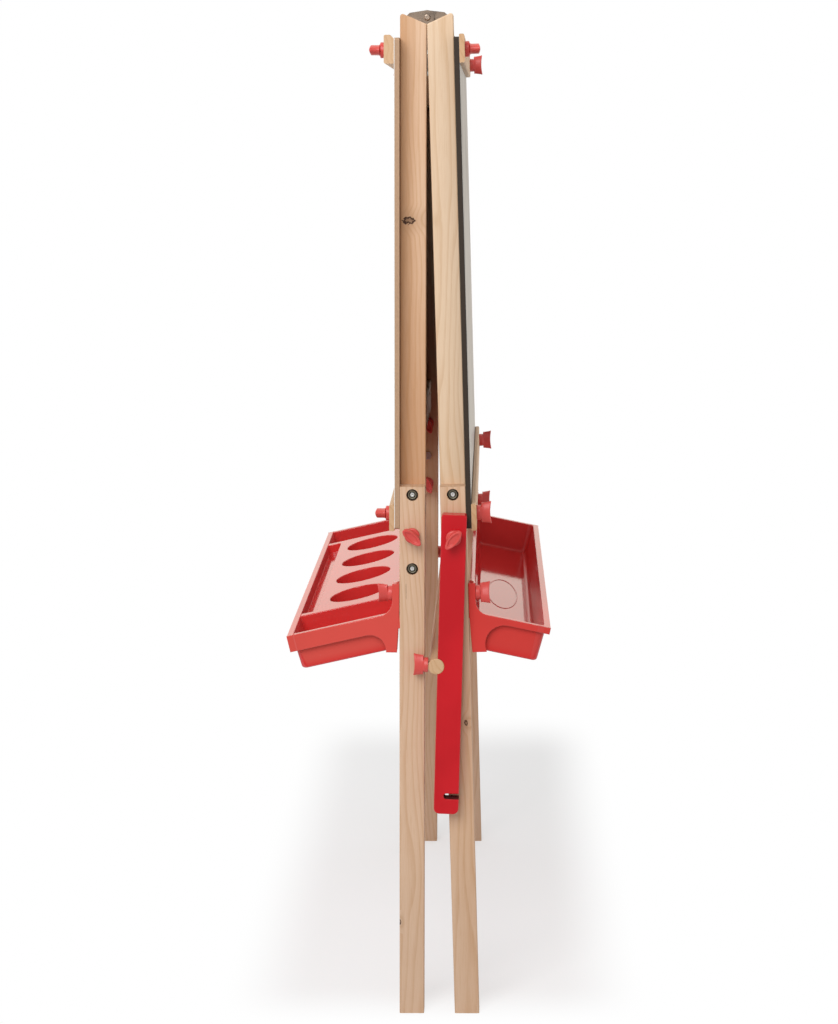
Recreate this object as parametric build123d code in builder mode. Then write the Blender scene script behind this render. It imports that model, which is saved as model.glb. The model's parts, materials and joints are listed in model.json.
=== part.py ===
"""Double-sided wooden standing easel for children, nearly folded, in millimetres, +Z up.

The hinge line runs along Y. The dry-erase frame leans to -X and the chalkboard frame to +X.
Left and right are as seen facing the chalkboard, so left is -Y and right is +Y.
Distances "below the hinge" run down along a leaning frame, and "out" is away from the other frame.
"""

import math
import os

from build123d import *

os.makedirs("parts", exist_ok=True)

# Whole easel
width = 620.0
hinge_to_floor = 1190.0
lean = 0.91
dry, chalk = -1, 1
left, right = -1, 1

# Timber
timber = 30.0
stick = 20.0
edge_round = 1.5
post_top_out = 4.2
post_top_in = 8.4
post_top_round = 3.0
post_end = 646.0
leg_top = 534.0
rail_height = 40.0
rail_thick = 20.0
rail_drops = (75.0, 500.0)

# Boards and clamp bars
board_thick = 6.0
board_top = 24.0
board_end = 584.5
board_round = 3.0
bar_thick = 6.0
bar_height = 31.5
bar_top_in = 12.8
bar_end_in = 13.7
bar_round = 2.0
bar_bevel = 1.0
feed_bar_thick = 11.4
feed_bar_bevel = 4.3

# Hardware
bolt_radius = 3.0
turning_gap = 0.06
bolt_gap = 0.2
head_radius = 6.4
head_gap = 0.6
head_thick = 3.2
head_sink = 4.0
socket_radius = 2.5
socket_deep = 2.2
stud_head_thick = 2.4
stud_sink = 3.0
hex_radius = 6.2
hex_thick = 4.0
leg_bolt_top_in = 9.5
leg_bolt_end_in = 14.2
pivot_rise = 55.0
tray_stud_rise = 20.7
cut_past = 1.0
washer_radius = 8.0
washer_thick = 1.5

# Wing knobs
flange_radius = 8.8
flange_thick = 5.4
flange_round = 1.2
knob_length = 17.5
wing_half = 12.2
wing_flare = 1.0
wing_half_thick = 5.7
wing_end_half = 2.8
wing_dish = 1.3
knob_bore_deep = 14.5
knob_grip = 10.0

# Braces and paper-roll rod
brace_hang = 2.2
brace_width = 29.5
brace_thick = 16.0
brace_top = 26.5
brace_top_round = 3.0
brace_end_round = 7.0
brace_bevel = 0.8
slot_drop = 315.0
slot_in = 22.0
slot_width = 7.0
rod_radius = 9.5
rod_drop = 155.5
rod_offset = 16.3
rod_gap = 0.1
rod_bevel = 0.6
rod_screw_deep = 6.0

# Hinge leaves
leaf_thick = 2.0
leaf_eye = 8.0
leaf_out = 23.0
leaf_shoulder = 20.0
leaf_shoulder_rise = 5.0
leaf_corner_rise = 2.0
leaf_end = 53.0
leaf_in = 7.0
leaf_clear = 9.6
leaf_step = 12.0
rivet_radius = 2.0
rivet_head_radius = 3.6
rivet_head_thick = 1.5
rivet_head_round = 1.2
leaf_screw_drops = (18.0, 47.0)
leaf_screw_out = 15.0
screw_radius = 1.6
screw_gap = 0.1
screw_head_radius = 3.2
screw_head_thick = 1.2
screw_deep = 12.0

# Trays
tray_tilt = 13.3
tray_back = 31.0
rim_drop = 683.7
rim_thick = 3.0
rim_wide = 8.0
skin = 3.0
tub_deep = 45.0
tub_back = 33.0
tub_inset = 5.0
tub_draft = 2.5
tub_end = 5.0
tub_round = 3.5
dry_reach = 137.0
chalk_reach = 98.0
dry_skirt = 20.0
chalk_skirt = 8.0
dry_arch = 44.0
chalk_arch = 48.0
dry_foot_wide = 13.0
chalk_foot_wide = 17.0
ear_rise = 33.7
ear_back = 30.2
ear_front = 38.6
ear_round = 1.0
ear_curve_rise = 12.2
ear_curve_reach = 20.0
foot_back = 33.0
foot_fall = 49.8
foot_arch_fall = 48.0
well_radius = 36.25
well_pitch = 103.0
well_reach = 59.8
well_deep = 36.0
well_skin = 2.5
trough_back = 109.5
trough_half = 205.0
trough_deep = 12.0
end_trough_in = 217.0
oval_long = 82.0
oval_wide = 20.5
oval_line = 1.4
oval_proud = 0.6
oval_reach = 50.0

# Worked out from the sizes above
lean_sin = math.sin(math.radians(lean))
lean_cos = math.cos(math.radians(lean))
tilt_sin = math.sin(math.radians(tray_tilt))
tilt_cos = math.cos(math.radians(tray_tilt))
half = width / 2
leg_mid = half - stick / 2
post_mid = half - 1.5 * stick
post_in = half - 2 * stick
axle_out = timber / 2
board_out = timber + board_thick
bar_drops = (board_top + bar_top_in, board_end - bar_end_in)
leg_bolt_drops = (leg_top + leg_bolt_top_in, post_end - leg_bolt_end_in)
pivot_drop = post_end - pivot_rise
brace_end = slot_drop + slot_in
tray_stud_drop = rim_drop - tray_stud_rise
ear_top = rim_drop - ear_rise
ear_curve_top = rim_drop - ear_curve_rise
foot_drop = rim_drop + foot_fall
foot_arch_drop = rim_drop + foot_arch_fall
brace_in = half + washer_thick
brace_mid = brace_in + brace_thick / 2
brace_face = brace_in + brace_thick
hinge_z = hinge_to_floor * lean_cos


def tray_front(reach):
    """Distance in X from the hinge line to a tray's front edge."""
    out = tray_back + reach * tilt_cos
    down = rim_drop + reach * tilt_sin
    return out * lean_cos + down * lean_sin


hinge_x = (tray_front(dry_reach) - tray_front(chalk_reach)) / 2


def out_of(side):
    """Direction square out of a frame's board."""
    return Vector(side * lean_cos, 0, lean_sin)


def up_of(side):
    """Direction up along a frame's posts."""
    return Vector(-side * lean_sin, 0, lean_cos)


def spot(side, out, y, down):
    """A point of a frame, from its distance out, its Y and its distance below the hinge."""
    return Vector(hinge_x, y, hinge_z) + out_of(side) * out - up_of(side) * down


def section(side, y):
    """Plane across the hinge line, with x out of the frame and y up along it, zero at the hinge."""
    return Plane(origin=(hinge_x, y, hinge_z), x_dir=out_of(side), z_dir=(0, -side, 0))


def facing(side, out, y, down):
    """Plane square to a frame's board, facing out, with its y axis up along the frame."""
    across = up_of(side).cross(out_of(side))
    return Plane(origin=spot(side, out, y, down), x_dir=across, z_dir=out_of(side))


def sideways(side, y, down, end):
    """Plane square to the hinge line, on a leg's centre line, facing right or left as end says."""
    return Plane(origin=spot(side, axle_out, y, down), x_dir=out_of(side), z_dir=(0, end, 0))


def save(builder, name):
    """Names a finished sub-part and writes it."""
    builder.part.label = name
    export_step(builder.part, f"parts/{name}.step")


side_names = {dry: "dry_erase", chalk: "chalkboard"}
end_names = {left: "left", right: "right"}
top_bar_thick = {dry: feed_bar_thick, chalk: bar_thick}
top_bar_bevel = {dry: feed_bar_bevel, chalk: bar_bevel}
top_turns = {left: 0, right: 90}
bottom_turns = {dry: 10, chalk: 90}
tray_turn = 65
hook_turn = -40
pivot_turn = 48
nut_turns = {left: 70, right: 115}


def pillar(plane, radius, start, length, mode=Mode.ADD):
    """A round bar, or a bore, square to a plane. It adds to the part being built."""
    with BuildSketch(plane.offset(start)) as disc:
        Circle(radius)
    extrude(disc.sketch, amount=length, mode=mode)


def foot_line(out):
    """Height on a frame's section where the floor cuts it, so that both feet stand flat."""
    return -(hinge_z + out * lean_sin) / lean_cos


def make_post(side, end):
    """Upper post with a bevelled top, so that the frames clear each other as they open."""
    with BuildPart() as post:
        with BuildSketch(section(side, end * post_mid)):
            Polygon(
                (0, -post_top_in), (timber, post_top_out), (timber, -post_end), (0, -post_end),
                align=None,
            )
            fillet(vertices().sort_by(Axis.Y)[-1], post_top_round)
        extrude(amount=stick / 2, both=True)
        lengths = post.edges().group_by(SortBy.LENGTH)
        fillet(lengths[-1] + lengths[-2], edge_round)
        for drop in bar_drops:
            pillar(facing(side, 0, end * post_mid, drop), bolt_radius + bolt_gap, 0, timber, Mode.SUBTRACT)
            pillar(facing(side, 0, end * post_mid, drop), head_radius + head_gap, 0, stud_sink, Mode.SUBTRACT)
        for drop in (*leg_bolt_drops, pivot_drop):
            pillar(sideways(side, end * post_in, drop, end), bolt_radius + bolt_gap, 0, stick, Mode.SUBTRACT)
        for drop in leaf_screw_drops:
            hole = Plane(origin=spot(side, leaf_screw_out, end * post_in, drop), z_dir=(0, end, 0))
            pillar(hole, screw_radius, 0, screw_deep, Mode.SUBTRACT)
    save(post, f"{side_names[side]}_post_{end_names[end]}")


def make_leg(side, end):
    """Lower leg, bolted to the outer side of its post, with recesses for the bolt heads."""
    with BuildPart() as leg:
        with BuildSketch(section(side, end * leg_mid)):
            Polygon(
                (0, -leg_top), (timber, -leg_top), (timber, foot_line(timber)), (0, foot_line(0)),
                align=None,
            )
        extrude(amount=stick / 2, both=True)
        lengths = leg.edges().group_by(SortBy.LENGTH)
        fillet(lengths[-1] + lengths[-2], edge_round)
        for drop in (*leg_bolt_drops, pivot_drop):
            pillar(sideways(side, end * half, drop, -end), bolt_radius + bolt_gap, 0, stick, Mode.SUBTRACT)
        for drop in leg_bolt_drops:
            recess = sideways(side, end * half, drop, -end)
            pillar(recess, head_radius + head_gap, 0, head_sink, Mode.SUBTRACT)
        stud = facing(side, 0, end * leg_mid, tray_stud_drop)
        pillar(stud, bolt_radius + bolt_gap, 0, timber, Mode.SUBTRACT)
        pillar(stud, head_radius + head_gap, 0, stud_sink, Mode.SUBTRACT)
    save(leg, f"{side_names[side]}_leg_{end_names[end]}")


def make_rail(side, drop, name):
    """Cross rail between the posts, flush with their outer faces so that it backs the board."""
    with BuildPart() as rail:
        with BuildSketch(section(side, 0)):
            with Locations((timber - rail_thick / 2, -drop)):
                RectangleRounded(rail_thick, rail_height, edge_round)
        extrude(amount=post_in, both=True)
    save(rail, f"{side_names[side]}_{name}_rail")


def make_board(side):
    """Hardboard panel over the outer faces of the posts and leg tops."""
    with BuildPart() as board:
        with BuildSketch(section(side, 0)):
            with Locations((timber + board_thick / 2, -(board_top + board_end) / 2)):
                Rectangle(board_thick, board_end - board_top)
        extrude(amount=half, both=True)
        fillet(board.edges().group_by(SortBy.LENGTH)[0], board_round)
        for drop in bar_drops:
            for end in (left, right):
                bore = facing(side, timber, end * post_mid, drop)
                pillar(bore, bolt_radius + bolt_gap, 0, board_thick, Mode.SUBTRACT)
    save(board, "dry_erase_board" if side == dry else "chalkboard")


def make_bar(side, drop, thick, bevel, name):
    """Wooden bar that clamps paper to the board, bevelled at its upper inner edge to lead the paper in."""
    with BuildPart() as bar:
        with BuildSketch(section(side, 0)):
            with Locations((board_out + thick / 2, -drop)):
                Rectangle(thick, bar_height)
            chamfer(vertices().group_by(Axis.X)[0].sort_by(Axis.Y)[-1], bevel)
            fillet(vertices().group_by(Axis.X)[-1], bar_round)
        extrude(amount=half, both=True)
        for end in (left, right):
            bore = facing(side, board_out, end * post_mid, drop)
            pillar(bore, bolt_radius + turning_gap, 0, thick, Mode.SUBTRACT)
    save(bar, f"{side_names[side]}_{name}_bar")


def wing_outline(reach):
    """Outline of a knob's wing seen along its axis: two long bowed sides and two rounded ends."""
    with BuildLine() as outline:
        ThreePointArc((-reach, -wing_end_half), (0, -wing_half_thick), (reach, -wing_end_half))
        ThreePointArc((reach, -wing_end_half), (reach + wing_end_half / 2, 0), (reach, wing_end_half))
        ThreePointArc((reach, wing_end_half), (0, wing_half_thick), (-reach, wing_end_half))
        ThreePointArc((-reach, wing_end_half), (-reach - wing_end_half / 2, 0), (-reach, -wing_end_half))
    make_face(outline.edges())


def wing_knob(seat, turn):
    """Moulded wing knob: a round flange, a flared wing with a dished end, and a blind bore for its stud."""
    angle = math.radians(turn)
    along = seat.x_dir * math.cos(angle) + seat.y_dir * math.sin(angle)
    base = Plane(origin=seat.origin, x_dir=along, z_dir=seat.z_dir)
    with BuildPart() as knob:
        pillar(base, flange_radius, 0, flange_thick)
        fillet(knob.edges().sort_by(Axis(base.origin, base.z_dir))[-1], flange_round)
        with BuildSketch(base.offset(flange_thick - flange_round)):
            wing_outline(wing_half - wing_flare)
        with BuildSketch(base.offset(knob_length)):
            wing_outline(wing_half)
        loft()
        dish_radius = (wing_half**2 + wing_dish**2) / (2 * wing_dish)
        dish = Plane(origin=base.origin, x_dir=base.x_dir, z_dir=-base.y_dir)
        with BuildSketch(dish):
            with Locations((0, knob_length + dish_radius - wing_dish)):
                Circle(dish_radius)
        extrude(amount=wing_half_thick, both=True, mode=Mode.SUBTRACT)
        pillar(base, bolt_radius + turning_gap, 0, knob_bore_deep, Mode.SUBTRACT)
    return knob


def brace_plane(y, facing_y):
    """Plane of a hanging brace at its pivot, with y up along the brace and z along facing_y."""
    swing = math.radians(brace_hang)
    sign = -facing_y
    return Plane(
        origin=spot(chalk, axle_out, y, pivot_drop),
        x_dir=(sign * math.cos(swing), 0, -sign * math.sin(swing)),
        z_dir=(0, facing_y, 0),
    )


def make_brace(end):
    """Swinging brace with a pivot hole, a half-round seat for the rod and a hook slot open to one edge."""
    flip = -end
    with BuildPart() as brace:
        with BuildSketch(brace_plane(end * brace_mid, end)):
            with Locations((0, (brace_top - brace_end) / 2)):
                Rectangle(brace_width, brace_top + brace_end)
            corners = vertices().sort_by(Axis.Y)
            fillet(corners[:2], brace_end_round)
            fillet(vertices().sort_by(Axis.Y)[-2:], brace_top_round)
            Circle(bolt_radius + turning_gap, mode=Mode.SUBTRACT)
            with Locations((-flip * rod_offset, -rod_drop)):
                Circle(rod_radius + rod_gap, mode=Mode.SUBTRACT)
            with Locations((flip * brace_width / 2, -slot_drop)):
                SlotCenterToCenter(brace_width, slot_width, mode=Mode.SUBTRACT)
        extrude(amount=brace_thick / 2, both=True)
        rims = brace.faces().filter_by(Axis.Y)
        outer = rims.sort_by(Axis.Y)[0 if end == left else -1]
        chamfer(outer.outer_wire().edges(), brace_bevel)
        screw = rod_screw_plane(end)
        pillar(screw, bolt_radius + bolt_gap, -rod_radius - rod_screw_deep, rod_radius * 2, Mode.SUBTRACT)
    save(brace, f"brace_{end_names[end]}")


def rod_screw_plane(end):
    """Plane on the rod's axis at a brace, facing the dry-erase frame square to the brace."""
    plane = brace_plane(end * brace_mid, -1)
    centre = plane.from_local_coords((-rod_offset, -rod_drop, 0))
    return Plane(origin=centre, x_dir=plane.y_dir, z_dir=-plane.x_dir)


def make_rod():
    """Rod for a paper roll, seated in both braces and cross-drilled for its screws."""
    with BuildPart() as rod:
        middle = brace_plane(0, -1)
        centre = middle.from_local_coords((-rod_offset, -rod_drop, 0))
        with BuildSketch(Plane(origin=centre, x_dir=middle.x_dir, z_dir=middle.z_dir)):
            Circle(rod_radius)
        extrude(amount=brace_face, both=True)
        chamfer(rod.edges().filter_by(GeomType.CIRCLE), rod_bevel)
        for end in (left, right):
            bore = rod_screw_plane(end)
            pillar(bore, bolt_radius + bolt_gap, -rod_radius, rod_radius * 2, Mode.SUBTRACT)
    save(rod, "paper_roll_rod")


def make_rod_hardware():
    """Knobs that lock the rod in the braces, and the screws they turn on."""
    with BuildPart() as screws:
        for end in (left, right):
            start = -rod_radius - rod_screw_deep + bolt_gap
            pillar(rod_screw_plane(end), bolt_radius, start, rod_radius + knob_grip - start)
    save(screws, "rod_screws")
    knobs = [wing_knob(rod_screw_plane(end).offset(rod_radius + rod_gap), 0) for end in (left, right)]
    with BuildPart() as pair:
        for knob in knobs:
            add(knob.part)
    save(pair, "rod_knobs")


def leaf_top(out):
    """Height of a hinge leaf's upper edge above the rivet."""
    return leaf_eye - (leaf_eye - leaf_shoulder_rise) * out / leaf_shoulder


def leaf_eye_sketch(bottom):
    """Eye and arm of a hinge leaf, down to a given height below the rivet."""
    Circle(leaf_eye)
    Polygon(
        (0, leaf_eye), (leaf_shoulder, leaf_shoulder_rise), (leaf_out, leaf_corner_rise),
        (leaf_out, -bottom), (leaf_in, -bottom), (0, -leaf_eye),
        align=None,
    )


def make_leaf(side, end):
    """Flat hinge leaf on a post's inner side. The chalkboard leaf is stepped to lap over the other one."""
    near = post_in - leaf_thick / 2
    lap = near - leaf_thick
    with BuildPart() as leaf:
        if side == dry:
            with BuildSketch(section(side, end * near)):
                leaf_eye_sketch(leaf_step)
            extrude(amount=leaf_thick / 2, both=True)
        else:
            with BuildSketch(section(side, end * lap)):
                leaf_eye_sketch(leaf_step)
            extrude(amount=leaf_thick / 2, both=True)
        with BuildSketch(section(side, end * near)):
            Polygon(
                (leaf_clear, leaf_top(leaf_clear)), (leaf_shoulder, leaf_shoulder_rise),
                (leaf_out, leaf_corner_rise), (leaf_out, -leaf_end), (leaf_clear, -leaf_end),
                align=None,
            )
        extrude(amount=leaf_thick / 2, both=True)
        pin = Plane(origin=spot(side, 0, end * post_in, 0), z_dir=(0, -end, 0))
        pillar(pin, rivet_radius + turning_gap, 0, leaf_thick * 2, Mode.SUBTRACT)
        for drop in leaf_screw_drops:
            hole = Plane(origin=spot(side, leaf_screw_out, end * post_in, drop), z_dir=(0, -end, 0))
            pillar(hole, screw_radius + screw_gap, 0, leaf_thick * 2, Mode.SUBTRACT)
    save(leaf, f"{side_names[side]}_hinge_leaf_{end_names[end]}")


def make_rivets():
    """Hinge rivets, one through each pair of leaves."""
    with BuildPart() as rivets:
        for end in (left, right):
            pin = Plane(origin=spot(dry, 0, end * post_in, 0), z_dir=(0, -end, 0))
            pillar(pin, rivet_radius, -rivet_head_thick, rivet_head_thick * 2 + leaf_thick * 2)
            pillar(pin, rivet_head_radius, -rivet_head_thick, rivet_head_thick)
            pillar(pin, rivet_head_radius, leaf_thick * 2, rivet_head_thick)
        heads = rivets.edges().filter_by(GeomType.CIRCLE).group_by(Axis.Y)
        fillet(heads[0] + heads[-1], rivet_head_round)
    save(rivets, "hinge_rivets")


def make_leaf_screws(side):
    """Round-headed screws that hold a frame's two hinge leaves."""
    with BuildPart() as screws:
        for end in (left, right):
            for drop in leaf_screw_drops:
                seat = Plane(origin=spot(side, leaf_screw_out, end * post_in, drop), z_dir=(0, -end, 0))
                tip = screw_deep - screw_gap
                pillar(seat, screw_radius - screw_gap, -tip, tip + leaf_thick)
                pillar(seat, screw_head_radius, leaf_thick, screw_head_thick)
    save(screws, f"{side_names[side]}_hinge_screws")


def make_leg_bolts(side):
    """Socket-head bolts through a frame's legs and posts, with sunk heads."""
    with BuildPart() as bolts:
        for end in (left, right):
            for drop in leg_bolt_drops:
                seat = sideways(side, end * half, drop, -end)
                pillar(seat, head_radius, head_sink - head_thick, head_thick)
                pillar(seat, bolt_radius, head_sink, 2 * stick - head_sink + knob_grip)
                with BuildSketch(seat.offset(head_sink - head_thick)):
                    RegularPolygon(socket_radius, 6)
                extrude(amount=socket_deep, mode=Mode.SUBTRACT)
    save(bolts, f"{side_names[side]}_leg_bolts")


def make_leg_nuts(side):
    """Wing nuts on the inner ends of a frame's leg bolts."""
    nuts = []
    for end in (left, right):
        for drop in leg_bolt_drops:
            nuts.append(wing_knob(sideways(side, end * post_in, drop, -end), nut_turns[end]))
    with BuildPart() as group:
        for nut in nuts:
            add(nut.part)
    save(group, f"{side_names[side]}_leg_nuts")


def make_studs(side):
    """Studs with sunk round heads that carry a frame's clamp bars and tray."""
    with BuildPart() as studs:
        for end in (left, right):
            for drop, thick in zip(bar_drops, (top_bar_thick[side], bar_thick)):
                seat = facing(side, 0, end * post_mid, drop)
                pillar(seat, head_radius, stud_sink - stud_head_thick, stud_head_thick)
                pillar(seat, bolt_radius, stud_sink, board_out + thick + knob_grip - stud_sink)
            seat = facing(side, 0, end * leg_mid, tray_stud_drop)
            pillar(seat, head_radius, stud_sink - stud_head_thick, stud_head_thick)
            pillar(seat, bolt_radius, stud_sink, ear_front + knob_grip - stud_sink)
    save(studs, f"{side_names[side]}_studs")


def make_cross_bolts(side, grip, name):
    """Hexagon bolts through the leg and post that carry the braces, with a washer on each leg."""
    with BuildPart() as bolts:
        for end in (left, right):
            seat = sideways(side, end * post_in, pivot_drop, end)
            with BuildSketch(seat.offset(-hex_thick)):
                RegularPolygon(hex_radius, 6)
            extrude(amount=hex_thick)
            pillar(seat, bolt_radius, 0, 2 * stick + washer_thick + grip + knob_grip)
            with BuildSketch(seat.offset(2 * stick)):
                Circle(washer_radius)
                Circle(bolt_radius + turning_gap, mode=Mode.SUBTRACT)
            extrude(amount=washer_thick)
    save(bolts, name)


def tray_point(reach, rise):
    """A tray point on a frame's section, from its distance along the rim and its height above it."""
    out = tray_back + reach * tilt_cos + rise * tilt_sin
    down = rim_drop + reach * tilt_sin - rise * tilt_cos
    return (out, -down)


def back_point(out, rise):
    """The point at a height above the rim that lies a given distance out from the frame."""
    return tray_point((out - tray_back - rise * tilt_sin) / tilt_cos, rise)


def tub_section(back, front, top, bottom):
    """Closed outline of a tub or a pocket, drafted at the front, on a frame's section."""
    Polygon(
        back_point(back, top), tray_point(front, top), tray_point(front - tub_draft, bottom),
        back_point(back + tub_draft, bottom),
        align=None,
    )


def tray_plane(side):
    """Plane of a tray's rim, with x towards its front edge."""
    x_dir = out_of(side) * tilt_cos - up_of(side) * tilt_sin
    z_dir = out_of(side) * tilt_sin + up_of(side) * tilt_cos
    return Plane(origin=spot(side, tray_back, 0, rim_drop), x_dir=x_dir, z_dir=z_dir)


def pocket(side, back, front, bottom, y_from, y_to):
    """Cuts a rounded pocket down from above the rim, between two values of Y."""
    with BuildSketch(section(side, (y_from + y_to) / 2)) as outline:
        tub_section(back, front, cut_past, bottom)
        fillet(vertices().sort_by(Axis.Y)[:2], tub_round - skin / 2)
    extrude(outline.sketch, amount=(y_to - y_from) / 2, both=True, mode=Mode.SUBTRACT)


def tray_end(side, end, reach, skirt, arch, foot_wide):
    """End wall of a tray: ear, swept shoulder, rim, skirt, and an arched gusset down to the foot."""
    foot_front = foot_back + foot_wide
    corner = tray_point(reach, 0)
    shoulder = tray_point(ear_curve_reach, 0)
    skirt_front = tray_point(reach, -skirt)
    arch_top = tray_point(arch, -skirt)
    with BuildSketch(section(side, end * (half - skin / 2))) as wall:
        with BuildLine():
            Line((ear_back, -ear_top), (ear_front, -ear_top))
            Line((ear_front, -ear_top), (ear_front, -ear_curve_top))
            TangentArc((ear_front, -ear_curve_top), shoulder, tangent=(0, -1))
            Line(shoulder, corner)
            Line(corner, skirt_front)
            Line(skirt_front, arch_top)
            TangentArc(arch_top, (foot_front, -foot_arch_drop), tangent=(-tilt_cos, tilt_sin))
            Line((foot_front, -foot_arch_drop), (foot_front, -foot_drop))
            Line((foot_front, -foot_drop), (foot_back, -foot_drop))
            Line((foot_back, -foot_drop), (ear_back, -rim_drop))
            Line((ear_back, -rim_drop), (ear_back, -ear_top))
        make_face()
    extrude(wall.sketch, amount=skin / 2, both=True)
    with BuildSketch(section(side, end * (half - stick / 2))) as spine:
        Polygon(
            (ear_back, -ear_top), (ear_front, -ear_top), (ear_front, -rim_drop - tub_round),
            (foot_back + skin, -foot_drop), (foot_back, -foot_drop), (ear_back, -rim_drop),
            align=None,
        )
        fillet(vertices().sort_by(Axis.Y)[-1:], ear_round)
    extrude(spine.sketch, amount=stick / 2, both=True)


def tray_shell(side, reach, skirt):
    """Rim plate, front skirt and tub of a tray, before its pockets are cut."""
    rim = tray_plane(side)
    with BuildSketch(rim) as plate:
        with Locations((reach / 2, 0)):
            Rectangle(reach, width)
    extrude(plate.sketch, amount=-rim_thick)
    with BuildSketch(rim) as lip:
        with Locations((reach - skin / 2, 0)):
            Rectangle(skin, width)
    extrude(lip.sketch, amount=-skirt)
    with BuildSketch(section(side, 0)) as tub:
        tub_section(tub_back, reach - tub_inset, -rim_thick / 2, -tub_deep)
        fillet(vertices().sort_by(Axis.Y)[:2], tub_round)
    extrude(tub.sketch, amount=half - tub_end, both=True)


def tray_studs(side):
    """Bores for the studs that hold a tray's ears."""
    for end in (left, right):
        bore = facing(side, ear_back - cut_past, end * leg_mid, tray_stud_drop)
        pillar(bore, bolt_radius + bolt_gap, 0, ear_front - ear_back + 2 * cut_past, Mode.SUBTRACT)


def make_cup_tray():
    """Tray with four cup wells in a deck, a shallow trough along the front and a deep one at each end."""
    front = dry_reach - rim_wide
    with BuildPart() as tray:
        tray_shell(dry, dry_reach, dry_skirt)
        for end in (left, right):
            ends = sorted((end * end_trough_in, end * (half - rim_wide)))
            pocket(dry, tub_back + skin, front, -tub_deep + skin, *ends)
        with BuildSketch(section(dry, 0)):
            Polygon(
                back_point(tub_back + skin, -rim_thick), tray_point(trough_back - skin, -rim_thick),
                tray_point(trough_back - skin, -trough_deep - skin),
                tray_point(dry_reach - skin, -trough_deep - skin),
                tray_point(dry_reach - skin, -tub_deep - cut_past),
                back_point(tub_back + skin, -tub_deep - cut_past),
                align=None,
            )
        extrude(amount=end_trough_in - skin, both=True, mode=Mode.SUBTRACT)
        with BuildSketch(section(dry, 0)):
            Polygon(
                tray_point(trough_back, cut_past), tray_point(front, cut_past),
                tray_point(front, -trough_deep), tray_point(trough_back, -trough_deep),
                align=None,
            )
        extrude(amount=trough_half, both=True, mode=Mode.SUBTRACT)
        deck = tray_plane(dry)
        spots = [(well_reach, (k - 1.5) * well_pitch) for k in range(4)]
        with BuildSketch(deck.offset(-cut_past)):
            with Locations(*spots):
                Circle(well_radius + well_skin)
        extrude(amount=-well_deep - well_skin + cut_past)
        with BuildSketch(deck):
            with Locations(*spots):
                Circle(well_radius)
        extrude(amount=-well_deep, mode=Mode.SUBTRACT)
        for end in (left, right):
            tray_end(dry, end, dry_reach, dry_skirt, dry_arch, dry_foot_wide)
        tray_studs(dry)
    save(tray, "cup_tray")


def make_bin_tray():
    """Open tray with a plain raised oval on its floor."""
    with BuildPart() as tray:
        tray_shell(chalk, chalk_reach, chalk_skirt)
        inside = half - rim_wide
        pocket(chalk, tub_back + skin, chalk_reach - rim_wide, -tub_deep + skin, -inside, inside)
        with BuildSketch(tray_plane(chalk).offset(-tub_deep + skin)):
            with Locations((oval_reach, 0)):
                Ellipse(oval_wide, oval_long)
                Ellipse(oval_wide - oval_line, oval_long - oval_line, mode=Mode.SUBTRACT)
        extrude(amount=oval_proud)
        for end in (left, right):
            tray_end(chalk, end, chalk_reach, chalk_skirt, chalk_arch, chalk_foot_wide)
        tray_studs(chalk)
    save(tray, "open_tray")


for frame_side in (dry, chalk):
    frame_name = side_names[frame_side]
    for frame_end in (left, right):
        make_post(frame_side, frame_end)
        make_leg(frame_side, frame_end)
        make_leaf(frame_side, frame_end)
    make_rail(frame_side, rail_drops[0], "top")
    make_rail(frame_side, rail_drops[1], "bottom")
    make_board(frame_side)
    make_bar(frame_side, bar_drops[0], top_bar_thick[frame_side], top_bar_bevel[frame_side], "top")
    make_bar(frame_side, bar_drops[1], bar_thick, bar_bevel, "bottom")
    make_leg_bolts(frame_side)
    make_leg_nuts(frame_side)
    make_leaf_screws(frame_side)
    make_studs(frame_side)
    for frame_end in (left, right):
        end_name = end_names[frame_end]
        seat = facing(frame_side, board_out + top_bar_thick[frame_side], frame_end * post_mid, bar_drops[0])
        save(wing_knob(seat, top_turns[frame_end]), f"{frame_name}_top_knob_{end_name}")
        seat = facing(frame_side, board_out + bar_thick, frame_end * post_mid, bar_drops[1])
        save(wing_knob(seat, bottom_turns[frame_side]), f"{frame_name}_bottom_knob_{end_name}")
        seat = facing(frame_side, ear_front, frame_end * leg_mid, tray_stud_drop)
        save(wing_knob(seat, tray_turn), f"{frame_name}_tray_knob_{end_name}")

make_cross_bolts(dry, 0, "hook_bolts")
make_cross_bolts(chalk, brace_thick, "pivot_bolts")
for frame_end in (left, right):
    end_name = end_names[frame_end]
    hook_seat = sideways(dry, frame_end * (half + washer_thick), pivot_drop, frame_end)
    save(wing_knob(hook_seat, hook_turn), f"hook_knob_{end_name}")
    pivot_seat = sideways(chalk, frame_end * brace_face, pivot_drop, frame_end)
    save(wing_knob(pivot_seat, pivot_turn), f"pivot_knob_{end_name}")
    make_brace(frame_end)
make_rod()
make_rod_hardware()
make_rivets()
make_cup_tray()
make_bin_tray()
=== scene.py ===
"""Looks of a double-sided standing easel for children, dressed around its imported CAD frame.

Every piece is in metres in the row frame: Z up, Y along the hinge line, the chalkboard on the +X side.
"Out" is the distance out of a frame's board, and "down" the distance below the hinge along that frame.
"""

import json
import math

import bmesh
import bpy
import numpy as np
from mathutils import Matrix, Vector
from mathutils.geometry import delaunay_2d_cdt


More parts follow.
